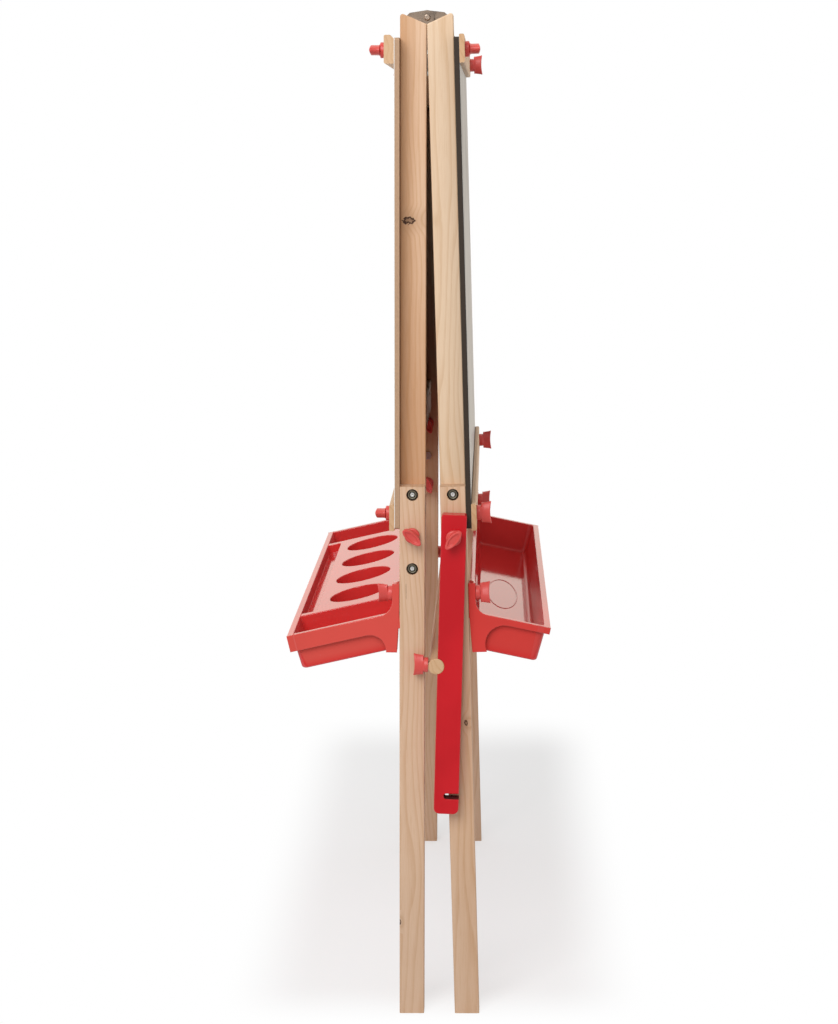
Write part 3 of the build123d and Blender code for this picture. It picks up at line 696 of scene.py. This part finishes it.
def faced_board(name, side, face, core, dust, dusty, roughness, rubbed):
    """Faced hardboard: the face's colour where a point lies within a skin of the outer face, and pressed
    fibres at the edges and the back. Wiped dust takes a share of the face and adds to its roughness."""
    panel = Finish(name, ior=1.5)
    x, y, z = panel.parts(panel.place())
    skin = panel.smooth(out_of_frame(x, z, side), *(BOARD_FACE - deep for deep in BOARD_SKIN))
    fibre = panel.drawn((x, y, z), (500.0, 160.0, 160.0), scale=2.0, detail=3.0, roughness=0.65)
    pressed = panel.mix(panel.smooth(fibre, 0.3, 0.7), shade(core, 0.9), shade(core, 1.08))
    slanted = panel.vector(x, y * 5.0 + z * 3.0, z * 2.0)
    wipe = panel.noise(slanted, scale=3.5, detail=4.0, roughness=0.6)
    film = panel.smooth(wipe, 0.45, 0.8)
    panel.show("Base Color", panel.mix(skin, pressed, panel.mix(film * dusty, face, dust)))
    panel.show("Roughness", (1 - skin) * 0.72 + skin * (roughness + film * rubbed))
    panel.relief(fibre * (1 - skin) + wipe * skin * 0.15, distance=0.15 * MM, strength=0.5)
    return panel.material


def dress(material, *nodes):
    """Gives CAD nodes a finish."""
    for name in nodes:
        node = frame["nodes"][name]
        if not node.material_slots:
            node.data.materials.append(material)
        for slot in node.material_slots:
            slot.material = material


def settle(piece, body, slot, *nodes):
    """Lets a new piece stand for CAD nodes and ride on a body. Its slot is not used."""
    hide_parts(*nodes)
    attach(piece, body)


def seat(origin, axis, along):
    """A function that puts knob points in place: x goes along a direction square to the axis, z along it."""
    axis = unit(np.asarray(axis, float))
    along = np.asarray(along, float)
    along = unit(along - axis * along.dot(axis))
    basis = np.stack([along, np.cross(axis, along), axis])
    return lambda points: np.asarray(origin) + points @ basis


def turned(axis, along, angle):
    """A direction square to an axis, turned about it."""
    return np.asarray(along) * math.cos(angle) + np.cross(axis, along) * math.sin(angle)


def wing_knob(sizes, steps=72):
    """Rings of a wing knob from the middle of its seat to the middle of its dished end.

    The foot is a circle of the flange radius with a rounded shoulder. The wing's outline is x = a c and
    y = w(x) s, with c and s the cosine and sine of the angle raised to a power under one, so that its ends
    are blunt, and with w falling as the square of x / a from the middle to the tips. It flares with height.
    The end lies dish (1 - (x / a)^2) below the tips, and a soft step sinks it inside a rim that follows the
    outline.
    """
    foot, radius = sizes.flange_height, sizes.flange_radius
    wheel = circle((0, 0), 1.0, steps)
    blunt_x, blunt_y = (np.sign(wheel) * np.abs(wheel) ** WING_BLUNT).T

    def wing(scale, margin=0.0):
        half = sizes.wing_half * scale + margin
        x = half * blunt_x
        width = sizes.tip_thick + (sizes.wing_thick - sizes.tip_thick) * (1 - (x / half) ** 2) + margin
        return np.stack([x, width * blunt_y], -1)

    def end_height(flat):
        return sizes.height - sizes.dish * (1 - (flat[:, 0] / sizes.wing_half) ** 2)

    rings = [ring(wheel * reach, SEAT_GAP) for reach in (0.0, radius - FOOT_CHAMFER)]
    rings.append(ring(wheel * radius, FOOT_CHAMFER))
    rings += [ring(wheel * (radius - inward), foot - below) for below, inward in quarter(FOOT_SHOULDER)]
    neck = wheel * (radius - FOOT_SHOULDER)
    rings.append(ring((neck + wing(WING_ROOT)) / 2, foot + WING_NECK))
    base = foot + WING_START
    for lift in (0.0, 0.12, 0.3, 0.55, 0.8):
        flat = wing(WING_ROOT + WING_FLARE * lift, 0.0 if lift else WING_FILLET)
        rings.append(ring(flat, base + lift * (end_height(flat) - base)))
    for below, inward in quarter(WING_RIM):
        edge = wing(1.0, -inward)
        rings.append(ring(edge, end_height(edge) - below))
    for share in (0.92, 0.84, 0.79, 0.74, 0.69, 0.64, 0.45, 0.2, 0.0):
        step = np.clip((HOLLOW_START - share) / HOLLOW_STEP, 0, 1)
        flat = edge * share
        rings.append(ring(flat, end_height(flat) - sizes.hollow * step**2 * (3 - 2 * step)))
    return np.stack(rings)


def knob_seats(sizes):
    """Every turning knob's node, and the function that puts its points in place, from its joint in the
    record."""
    seats = {}
    brace_knobs = {"dry_erase": ("hook_knob", sizes.hook), "chalkboard": ("pivot_knob", sizes.pivot)}
    for name, out in OUT.items():
        bottom = getattr(sizes, f"bottom_{name}")
        turns = {
            "top_knob": (sizes.top_left, sizes.top_right),
            "tray_knob": (sizes.tray, sizes.tray),
            "bottom_knob": (bottom, bottom),
        }
        for kind, angles in turns.items():
            for end, angle in zip(ENDS, angles):
                node = f"{name}_{kind}_{end}"
                along = turned(out, np.cross(UP[name], out), angle)
                seats[node] = seat(JOINTS[f"{node}_turn"]["pos_m"], out, along)
        kind, angle = brace_knobs[name]
        for end in ENDS:
            node = f"{kind}_{end}"
            joint = JOINTS[f"{node}_turn"]
            seats[node] = seat(joint["pos_m"], joint["axis"], turned(joint["axis"], out, angle))
    return seats


class EASEL_OT_knobs(bpy.types.Operator):
    """Makes every wing knob and wing nut"""

    bl_idname = "easel.knobs"
    bl_label = "Wing knobs"

    def execute(self, context):
        sizes = context.scene.easel_knobs
        rings = wing_knob(sizes)
        red = moulded("knob_red", context.scene.easel_colours.knob, roughness=0.34, grain=900.0)
        for node, place in knob_seats(sizes).items():
            skin = Skin()
            skin.loft(rings, place)
            settle(skin.build(f"wing_{node}", red), node, "red_knob", node)
        for name in SIDES:
            nuts = self.leg_nuts(name, rings).build(f"wing_nuts_{name}", red)
            settle(nuts, f"{name}_frame", "red_knob", f"{name}_leg_nuts")
        rod_knobs = self.rod_knobs(sizes, rings).build("wing_rod_knobs", red)
        settle(rod_knobs, "braces", "red_knob", "rod_knobs")
        return {"FINISHED"}

    def leg_nuts(self, name, rings):
        """The nuts of a frame's leg bolts, inside its posts."""
        skin = Skin()
        for end, sign in ENDS.items():
            axis = np.array([0.0, -sign, 0.0])
            along = turned(axis, OUT[name], NUT_TURN[end])
            for down in LEG_BOLTS_DOWN:
                skin.loft(rings, seat(on_frame(name, POST_HALF, sign * POST_INSIDE, down), axis, along))
        return skin

    def rod_knobs(self, sizes, rings):
        """The knobs that lock the rod, on its side towards the dry-erase board and tipped up a little."""
        skin = Skin()
        low, high = np.array(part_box("paper_roll_rod"))
        axis = np.array([-math.cos(ROD_KNOB_RISE), 0.0, math.sin(ROD_KNOB_RISE)])
        start = (low + high) / 2 + axis * ((high[0] - low[0]) / 2 + ROD_KNOB_GAP)
        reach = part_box("rod_knobs")[1][1] - sizes.flange_radius
        for sign in ENDS.values():
            origin = (start[0], sign * reach, start[2])
            skin.loft(rings, seat(origin, axis, (axis[2], 0.0, -axis[0])))
        return skin


def tray_place(name, sizes):
    """A function from a tray's own points, along the rim, Y and above the rim, to the row frame."""
    fall, level = math.sin(sizes.tilt), math.cos(sizes.tilt)
    origin = on_frame(name, sizes.back, 0.0, sizes.rim_down)
    basis = np.stack([OUT[name] * level - UP[name] * fall, (0, 1, 0), OUT[name] * fall + UP[name] * level])
    return lambda points: origin + points @ basis


def section_place(name):
    """A function from points (out, Y, up from the hinge) of a frame's section to the row frame."""
    return lambda points: on_frame(name, points[..., 0], points[..., 1], -points[..., 2])


def drafted(sizes, back, front, span, leans, corner):
    """A function that gives the outline of a pocket or a tub, grown by a margin, at a height. Its back
    stands square to the leg, a distance out. Its walls lean in with depth, the ends of its span each by a
    share."""
    def outline(margin, height):
        lean = sizes.draft * -height / sizes.deep
        low = (back - sizes.back - height * math.sin(sizes.tilt)) / math.cos(sizes.tilt) + lean
        ends = sorted(end + share * lean for end, share in zip(span, leans))
        return oblong(low, front - lean, ends, corner, margin)
    return outline


def floor_rings(outline, floor, root):
    """Rings that turn from a wall onto a floor on a quarter circle."""
    rings = [ring(outline(-inward, floor + above), floor + above) for above, inward in quarter(root)]
    return [*rings, ring(outline(-root - JOIN, floor), floor)]


def sunk(skin, outline, floor, lip, root, place):
    """A pocket sunk from the rim: rings of outline(margin, height) roll over the lip on a quarter circle, go
    down the wall, and turn onto the floor. Gives the outline that the deck joins."""
    rings = [ring(outline(lip + JOIN, 0.0), 0.0)]
    rings += [ring(outline(margin, -below), -below) for margin, below in quarter(lip)]
    rings += floor_rings(outline, floor, root)
    skin.loft(rings, place)
    skin.region(rings[-1][:, :2], [], floor, place)
    return rings[0][:, :2]


def hung(skin, outline, top, bottom, root, place):
    """The outside of a tub below the deck: rings go down the wall and turn under. Gives the outline that the
    deck's underside joins."""
    rings = [ring(outline(0.0, top), top), *floor_rings(outline, bottom, root)]
    skin.loft(rings, place)
    skin.region(rings[-1][:, :2], [], bottom, place)
    return rings[0][:, :2]


def rim_skirt(skin, reach, skirt, sizes, place):
    """The rim's outer edge: over the lip on a quarter circle, down the skirt, and back up inside to the
    deck's underside. Gives the outlines that the deck's top and underside join."""
    end = HALF_WIDTH - RIM_CLEAR

    def outline(margin, back=0.0):
        return oblong(back, reach, (-end, end), RIM_CORNER, margin)

    back = RIM_BACK - sizes.wall
    inner = outline(-sizes.wall, back)
    rings = [ring(outline(-sizes.lip - JOIN), 0.0)]
    rings += [ring(outline(-inward), -below) for inward, below in quarter(sizes.lip)]
    rings += [ring(outline(0.0), SKIRT_FOOT - skirt), ring(outline(-SKIRT_FOOT), -skirt)]
    rings.append(ring(outline(SKIRT_INSIDE - sizes.wall, back), -skirt))
    rings += [ring(inner, SKIRT_FOOT - skirt), ring(inner, -sizes.wall)]
    skin.loft(rings, place)
    return rings[0][:, :2], rings[-1][:, :2]


def plate(skin, outline, start, end, place):
    """A flat panel of a section's outline between two values of Y, with its edges rounded on quarter
    circles."""
    near, far = sorted((start, end))
    edge = quarter(PANEL_EDGE, 4)
    inner = -PANEL_EDGE - PANEL_JOIN
    levels = [(inner, near), *((-inward, near + along) for inward, along in edge)]
    levels += [*((-inward, far - along) for inward, along in edge[::-1]), (inner, far)]
    skin.loft([np.insert(grown(outline, margin), 1, y, axis=1) for margin, y in levels], place)
    for y in (near, far):
        skin.region(grown(outline, inner), [], y, lambda points: place(points[..., [0, 2, 1]]))


def sweep_to(start, direction, end, steps=10):
    """Points of the arc that leaves start along a direction and ends at a point: its centre lies on the
    normal at start, chord^2 / (2 chord . normal) away."""
    start, end, direction = (np.asarray(v, float) for v in (start, end, direction))
    chord = end - start
    normal = np.array([-direction[1], direction[0]])
    radius = chord.dot(chord) / (2 * chord.dot(normal))
    centre = start + normal * radius
    first = math.atan2(*(start - centre)[::-1])
    turn = math.atan2(*(end - centre)[::-1]) - first
    turn = (turn + math.pi) % (2 * math.pi) - math.pi
    angle = first + turn * np.linspace(0, 1, steps + 1)
    return centre + abs(radius) * np.stack([np.cos(angle), np.sin(angle)], -1)


def tray_ends(skin, name, reach, skirt, arch, foot, sizes):
    """Both ends of a tray: a panel with the ear, a swept shoulder, the rim, the skirt and an arched gusset
    that runs down to the foot, and the spine behind the ear that lies on the leg."""
    fall, level = math.sin(sizes.tilt), math.cos(sizes.tilt)

    def at(along, rise):
        out = sizes.back + along * level + rise * fall
        return np.array([out, rise * level - along * fall - sizes.rim_down])

    ear = [(EAR_FRONT, -EAR_TOP), (EAR_BACK, -EAR_TOP)]
    back = [*ear, (EAR_BACK, -sizes.rim_down), (FOOT_BACK, -FOOT_DOWN)]
    toe = (FOOT_BACK + foot, -FOOT_DOWN)
    gusset = sweep_to(at(arch, -skirt), (-level, fall), (FOOT_BACK + foot, -FOOT_ARCH))
    shoulder = sweep_to((EAR_FRONT, -EAR_BEND), (0, -1), at(EAR_SWEEP, 0))
    front = [at(reach, -skirt), at(reach, 0)]
    panel = np.concatenate([back, [toe], gusset[::-1], front, shoulder[::-1]])
    heel = (FOOT_BACK + sizes.wall, -FOOT_DOWN)
    spine = rounded([*back, heel, (EAR_FRONT, -sizes.rim_down - TUB_ROUND)], SPINE_CORNERS)
    place = section_place(name)
    for sign in ENDS.values():
        plate(skin, panel, sign * (HALF_WIDTH - sizes.wall), sign * HALF_WIDTH, place)
        plate(skin, spine, sign * (HALF_WIDTH - EAR_WIDE), sign * (HALF_WIDTH - SPINE_CLEAR), place)


def front_wall(place, reach, depth, share):
    """The matt wall at the front of a pocket: the direction towards the tray's front edge, the span along it
    that ends at a reach, and a share."""
    start = place(np.zeros(3))
    ahead = place(np.array([1.0, 0.0, 0.0])) - start
    far = float(start.dot(ahead)) + reach
    return ahead, far - depth, far, share


class EASEL_OT_cup_tray(bpy.types.Operator):
    """Makes the tray with four cup wells, a shallow trough along the front and a deep one at each end"""

    bl_idname = "easel.cup_tray"
    bl_label = "Cup tray"

    def execute(self, context):
        sizes = context.scene.easel_trays
        place = tray_place("dry_erase", sizes)
        front = sizes.cup_reach - sizes.rim_wide
        end = HALF_WIDTH - sizes.rim_wide
        skin = Skin()
        pockets = [*self.end_troughs(skin, sizes, place, front, end)]
        pockets += [self.front_trough(skin, sizes, place, front), *self.wells(skin, sizes, place)]
        above, below = zip(*pockets)
        top, under = rim_skirt(skin, sizes.cup_reach, sizes.cup_skirt, sizes, place)
        skin.region(top, above, 0.0, place)
        skin.region(under, below, -sizes.wall, place)
        tray_ends(skin, "dry_erase", sizes.cup_reach, sizes.cup_skirt, CUP_ARCH, CUP_FOOT, sizes)
        # Painted sheen on the tray's end faces, by a share of 0.12
        red = moulded(
            "tray_red", context.scene.easel_colours.tray, roughness=0.05, grain=520.0,
            matt=front_wall(place, front, MATT_START, 0.6), end_sheen=(end + END_SHEEN_START, 0.12))
        settle(skin.build("moulded_cup_tray", red), "dry_erase_frame", "red_tray", "cup_tray")
        return {"FINISHED"}

    def end_troughs(self, skin, sizes, place, front, end):
        """The deep troughs and the tubs around them."""
        wall = sizes.wall
        for s in ENDS.values():
            trough_ends = (s * sizes.end_trough, s * end)
            tub_ends = (s * (sizes.end_trough - wall), s * (HALF_WIDTH - TUB_INSET))
            tub_front, corner = sizes.cup_reach - TUB_INSET, POCKET_CORNER + wall
            trough = drafted(sizes, TUB_BACK + wall, front, trough_ends, (s, -s), POCKET_CORNER)
            tub = drafted(sizes, TUB_BACK, tub_front, tub_ends, (0, -s), corner)
            yield (sunk(skin, trough, wall - sizes.deep, sizes.lip, sizes.root, place),
                   hung(skin, tub, -wall, -sizes.deep, TUB_ROUND, place))

    def front_trough(self, skin, sizes, place, front):
        """The shallow trough, with upright walls, and its underside."""
        def outline(wall):
            back, half = sizes.trough_back - wall, sizes.trough_half + wall
            return lambda margin, height: oblong(back, front + wall, (-half, half), POCKET_CORNER, margin)

        wall, deep = sizes.wall, sizes.trough_deep
        return (sunk(skin, outline(0.0), -deep, sizes.lip, sizes.lip, place),
                hung(skin, outline(wall), -wall, -deep - wall, TUB_ROUND, place))

    def wells(self, skin, sizes, place):
        """The round cup wells in a row, and their undersides."""
        def outline(centre, wall):
            return lambda margin, height: circle(centre, sizes.well_radius + wall + margin)

        deep, root = sizes.well_deep, sizes.root
        for k in range(WELL_COUNT):
            centre = (sizes.well_reach, (k - (WELL_COUNT - 1) / 2) * sizes.well_pitch)
            bottom = -deep - WELL_SKIN
            yield (sunk(skin, outline(centre, 0.0), -deep, sizes.lip, root, place),
                   hung(skin, outline(centre, WELL_SKIN), -sizes.wall, bottom, root, place))


class EASEL_OT_open_tray(bpy.types.Operator):
    """Makes the open tray, with a plain raised oval on its floor"""

    bl_idname = "easel.open_tray"
    bl_label = "Open tray"

    def execute(self, context):
        sizes = context.scene.easel_trays
        place = tray_place("chalkboard", sizes)
        reach, skirt, wall = sizes.open_reach, sizes.open_skirt, sizes.wall
        floor = wall - sizes.deep
        front, end = reach - sizes.rim_wide, HALF_WIDTH - sizes.rim_wide
        tub_front, tub_end = reach - TUB_INSET, HALF_WIDTH - TUB_INSET
        pocket = drafted(sizes, TUB_BACK + wall, front, (-end, end), (1, -1), POCKET_CORNER)
        tub = drafted(sizes, TUB_BACK, tub_front, (-tub_end, tub_end), (1, -1), OPEN_CORNER)
        skin = Skin()
        hole = sunk(skin, pocket, floor, sizes.lip, sizes.root, place)
        below = hung(skin, tub, -wall, -sizes.deep, TUB_ROUND, place)
        top, under = rim_skirt(skin, reach, skirt, sizes, place)
        skin.region(top, [hole], 0.0, place)
        skin.region(under, [below], -wall, place)
        tray_ends(skin, "chalkboard", reach, skirt, OPEN_ARCH, OPEN_FOOT, sizes)
        self.oval(skin, floor, place)
        matt = front_wall(place, front, sizes.draft + sizes.root + MATT_START, 0.25)
        # Painted sheen on the tray's end faces, by a share of 0.05
        red = moulded(
            "tray_red_open", context.scene.easel_colours.tray, roughness=0.02, grain=520.0,
            matt=matt, end_sheen=(end + END_SHEEN_START, 0.05))
        settle(skin.build("moulded_open_tray", red), "chalkboard_frame", "red_tray", "open_tray")
        return {"FINISHED"}

    def oval(self, skin, floor, place):
        """A bead around an oval: its profile is how far in and how high above the floor, in millimetres."""
        bead = [(0.0, -0.2), (0.0, 0.35), (0.45, 0.6), (0.95, 0.6), (1.4, 0.35), (1.4, -0.2), (0.0, -0.2)]
        wheel = circle((0, 0), 1.0, 96)
        rings = []
        for inset, rise in bead:
            rings.append(ring(OVAL_CENTRE + wheel * (OVAL_SIZE - inset * MM), floor + rise * MM))
        skin.loft(rings, place)


class EASEL_OT_leg_bolts(bpy.types.Operator):
    """Makes the sunk heads of the leg bolts: a dark flange, an olive collar and a bright core"""

    bl_idname = "easel.leg_bolts"
    bl_label = "Leg bolts"

    # Radius and height along each ring's profile, in millimetres
    profiles = {
        "flanges": [
            (0, 0), (6.4, 0), (6.4, 2.2), (6.1, 2.8), (5.5, 3.0), (5.2, 2.5), (5.2, 0.9), (0, 0.9)],
        "collars": [
            (3.6, 0.8), (5.1, 0.8), (5.1, 2.4), (4.8, 2.8), (4.2, 2.8), (3.8, 2.4), (3.6, 1.6), (3.6, 0.8)],
        "cores": [
            (0, 0.8), (2.6, 0.8), (2.6, 2.2), (2.2, 2.7), (1.3, 2.7), (1.0, 2.2), (0.9, 1.4), (0, 1.3)],
    }

    def execute(self, context):
        colours = context.scene.easel_colours
        metals = {
            "flanges": plated("blackened_steel", shade(colours.bronze, 0.35), roughness=0.34, tarnish=0.4),
            "collars": plated("olive_zinc", colours.collar, roughness=0.42, tarnish=0.3, bare=0.4),
            "cores": plated("bright_zinc", shade(colours.zinc, 1.35), roughness=0.38, tarnish=0.2, bare=0.4),
        }
        point = 1e-4
        for name in SIDES:
            for part, profile in self.profiles.items():
                rings = [ring(circle((0, 0), max(r, point) * MM, 40), h * MM) for r, h in profile]
                skin = Skin()
                for sign in ENDS.values():
                    for down in LEG_BOLTS_DOWN:
                        foot = on_frame(name, POST_HALF, sign * (HALF_WIDTH - BOLT_SINK), down)
                        skin.loft(rings, seat(foot, (0, sign, 0), OUT[name]))
                piece = skin.build(f"bolt_{part}_{name}", metals[part], sharp=50)
                settle(piece, f"{name}_frame", "steel", f"{name}_leg_bolts")
        return {"FINISHED"}


class EASEL_OT_timber(bpy.types.Operator):
    """Gives the posts, legs, rails, bars and rod their pine"""

    bl_idname = "easel.timber"
    bl_label = "Timber"

    def execute(self, context):
        colours = context.scene.easel_colours
        # The legs darken towards the foot
        darker_feet = (*LEG_DARKENING, shade(colours.pine, 0.06))
        # Painted shade over the dry-erase posts' lower part
        post_shade_below = (*POST_LOW_SHADE, colours.amber_shade)
        leg_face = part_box("dry_erase_leg_left")[0][1]
        legs = pine("pine_legs", colours.pine, colours, "Z", leg_face, darkening=darker_feet)
        level = pine("pine_level", colours.pine_bar, colours, "Y")
        posts = {
            "dry_erase": {"spring": colours.pine_warm, "board_shade_side": "dry_erase", "darkening": post_shade_below},
            "chalkboard": {"spring": colours.pine_pale},
        }
        for name, looks in posts.items():
            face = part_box(f"{name}_post_left")[0][1]
            post = pine(f"pine_{name}_posts", colours=colours, along="Z", face=face, **looks)
            dress(post, *(f"{name}_post_{end}" for end in ENDS))
            dress(legs, *(f"{name}_leg_{end}" for end in ENDS))
            for edge in ("top", "bottom"):
                dress(level, f"{name}_{edge}_rail", f"{name}_{edge}_bar")
        dress(level, "paper_roll_rod")
        return {"FINISHED"}


class EASEL_OT_boards(bpy.types.Operator):
    """Gives the two boards their faces and pressed edges"""

    bl_idname = "easel.boards"
    bl_label = "Boards"

    def execute(self, context):
        colours = context.scene.easel_colours
        white = faced_board(
            "dry_erase_face", "dry_erase", colours.white_face, colours.hardboard,
            dust=shade(colours.white_face, 0.8), dusty=0.05, roughness=0.14, rubbed=0.10)
        black = faced_board(
            "chalk_face", "chalkboard", colours.black_face, shade(colours.hardboard, 0.09),
            dust=CHALK_DUST, dusty=0.09, roughness=0.30, rubbed=0.12)
        dress(white, "dry_erase_board")
        dress(black, "chalkboard")
        return {"FINISHED"}


class EASEL_OT_hardware(bpy.types.Operator):
    """Gives the hinge leaves, rivets, screws, studs and bolts their metal, and the braces their paint"""

    bl_idname = "easel.hardware"
    bl_label = "Hardware and braces"

    def execute(self, context):
        colours = context.scene.easel_colours
        bronze = plated("bronzed_leaf", colours.bronze, roughness=0.36, tarnish=0.6)
        zinc = plated("zinc_plate", colours.zinc, roughness=0.28, tarnish=0.35)
        rivet = plated("bronzed_rivet", shade(colours.bronze, 1.7), roughness=0.26, tarnish=0.3)
        stud = plated("stud_steel", shade(colours.zinc, 0.25), roughness=0.34, tarnish=0.4)
        for name in SIDES:
            dress(bronze, *(f"{name}_hinge_leaf_{end}" for end in ENDS))
            dress(zinc, f"{name}_hinge_screws")
            dress(stud, f"{name}_studs")
        dress(rivet, "hinge_rivets")
        dress(zinc, "hook_bolts", "pivot_bolts", "rod_screws")
        paint = gloss_paint("brace_paint", colours.brace, *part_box("brace_right"))
        dress(paint, *(f"brace_{end}" for end in ENDS))
        return {"FINISHED"}


class EASEL_OT_stage(bpy.types.Operator):
    """Sets up the pale floor, the soft lamp, the light from all around and the camera"""

    bl_idname = "easel.stage"
    bl_label = "Studio"

    def execute(self, context):
        settings = context.scene.easel_stage
        self.floor(settings)
        self.world(settings)
        self.lamp(settings)
        self.camera(settings)
        context.scene.view_settings.view_transform = "Standard"
        return {"FINISHED"}

    def floor(self, settings):
        """A sweep that ends in front of the picture. The camera sees it white but for a soft-edged patch
        that shows the easel's shadow, and reflections see its far part glow."""
        side = FLOOR_SIDE
        corners = [(-side, FLOOR_FRONT, 0), (side, FLOOR_FRONT, 0), (side, side, 0), (-side, side, 0)]
        mesh = bpy.data.meshes.new("floor")
        mesh.from_pydata(corners, [], [(0, 1, 2, 3)])
        finish = Finish("pale_floor", roughness=0.7, specular_ior_level=0.1)
        where = finish.place()
        x, y, _ = finish.parts(where)
        speckle = finish.noise(where, scale=40.0)
        finish.show("Base Color", finish.mix(speckle * 0.05, settings.floor, shade(settings.floor, 0.9)))
        patch = finish.band(x, *SHADOW_X) * finish.band(y, *SHADOW_Y)
        camera, shiny = finish.ray("Camera"), finish.ray("Glossy")
        glow = finish.mix(camera, tuple(FLOOR_GLOW * c for c in settings.glow), WHITE)
        light = finish.node("Emission", inputs={"Color": glow, "Strength": 1.0})
        share = camera * (1 - patch * (1 - settings.bright))
        share = share + (1 - camera) * shiny * finish.smooth(y, *FLOOR_GLOW_Y)
        plain = Socket(finish, finish.shader.outputs[0])
        mixed = finish.node("MixShader", inputs={0: share, 1: plain, 2: light})
        finish.feed(finish.tree.nodes["Material Output"].inputs["Surface"], mixed)
        mesh.materials.append(finish.material)
        linked("floor", mesh)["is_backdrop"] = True

    def world(self, settings):
        """White to the camera. Reflections see a bright, warm backdrop behind the easel, a little darker
        towards the horizon, and a dim room behind the camera. All else gets a plain level of fill."""
        world = bpy.data.worlds.new("studio")
        world.use_nodes = True
        bpy.context.scene.world = world
        sky = Nodes(world.node_tree)
        _, ahead, above = sky.parts(sky.node("TexCoord", output="Generated"))
        seen = sky.maths("MAXIMUM", sky.ray("Camera"), sky.ray("Transmission"))
        shiny = sky.ray("Glossy")
        horizon = HORIZON + sky.smooth(above, 0.05, 0.2) * (1 - HORIZON)
        behind = sky.smooth(ahead, -0.35, 0.25) * horizon
        mirrored = behind * (settings.backdrop - settings.room) + settings.room
        background = sky.tree.nodes["Background"].inputs
        sky.feed(background["Color"], sky.mix(shiny * (1 - seen), WHITE, settings.glow))
        unseen = shiny * mirrored + (1 - shiny) * settings.fill
        sky.feed(background["Strength"], seen + (1 - seen) * unseen)

    def lamp(self, settings):
        """A soft square lamp at the left, above the camera, that faces the trays."""
        data = bpy.data.lights.new("key_lamp", "AREA")
        data.shape = "RECTANGLE"
        data.size = data.size_y = KEY_SIZE
        data.energy = settings.key
        back = unit(np.subtract(KEY_PLACE, KEY_TARGET))
        right = unit(np.cross((0, 0, 1), back))
        aim(linked("key_lamp", data), KEY_PLACE, right, np.cross(back, right), back)

    def camera(self, settings):
        """The photograph's eye: yaw about Z, then pitch down, then roll about the view."""
        yaw, pitch, roll = settings.yaw, settings.pitch, settings.roll
        level = np.array([-math.sin(yaw), math.cos(yaw), 0.0]) * math.cos(pitch)
        ahead = level - np.array([0.0, 0.0, math.sin(pitch)])
        right = np.array([math.cos(yaw), math.sin(yaw), 0.0])
        up = np.cross(right, ahead)
        data = bpy.data.cameras.new("camera")
        data.sensor_width = SENSOR
        data.lens = settings.lens
        camera = linked("camera", data)
        across = math.cos(roll) * right - math.sin(roll) * up
        aim(camera, settings.eye, across, math.cos(roll) * up + math.sin(roll) * right, -ahead)
        bpy.context.scene.camera = camera


def aim(thing, place, right, up, back):
    """Puts a lamp or camera at a place, with its three axes along given directions."""
    basis = np.eye(4)
    basis[:3] = np.stack([right, up, back, place], 1)
    thing.matrix_world = Matrix(basis.tolist())


PIECES = (
    EASEL_OT_timber, EASEL_OT_boards, EASEL_OT_hardware, EASEL_OT_leg_bolts, EASEL_OT_knobs,
    EASEL_OT_cup_tray, EASEL_OT_open_tray, EASEL_OT_stage,
)
GROUPS = {
    "easel_knobs": EaselKnobs, "easel_trays": EaselTrays,
    "easel_colours": EaselColours, "easel_stage": EaselStage,
}


class EASEL_PT_panel(bpy.types.Panel):
    """Lists the easel's pieces in the sidebar"""

    bl_label = "Easel"
    bl_idname = "EASEL_PT_panel"
    bl_space_type = "VIEW_3D"
    bl_region_type = "UI"
    bl_category = "Easel"

    def draw(self, context):
        for operator in PIECES:
            self.layout.operator(operator.bl_idname)
        for label in GROUPS:
            group = getattr(context.scene, label)
            box = self.layout.box()
            for name in group.__annotations__:
                box.prop(group, name)


def register():
    for kind in (*GROUPS.values(), *PIECES, EASEL_PT_panel):
        bpy.utils.register_class(kind)
    for label, kind in GROUPS.items():
        setattr(bpy.types.Scene, label, bpy.props.PointerProperty(type=kind))


def unregister():
    for label in GROUPS:
        delattr(bpy.types.Scene, label)
    for kind in (EASEL_PT_panel, *reversed(PIECES), *reversed(GROUPS.values())):
        bpy.utils.unregister_class(kind)


def main():
    """Registers the add-on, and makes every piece."""
    register()
    for operator in PIECES:
        group, name = operator.bl_idname.split(".")
        getattr(getattr(bpy.ops, group), name)()
    boxes = {"cad": CAD_BOX, "visual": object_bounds()}
    {label: [list(corner) for corner in box] for label, box in boxes.items()}


if __name__ == "__main__":
    main()
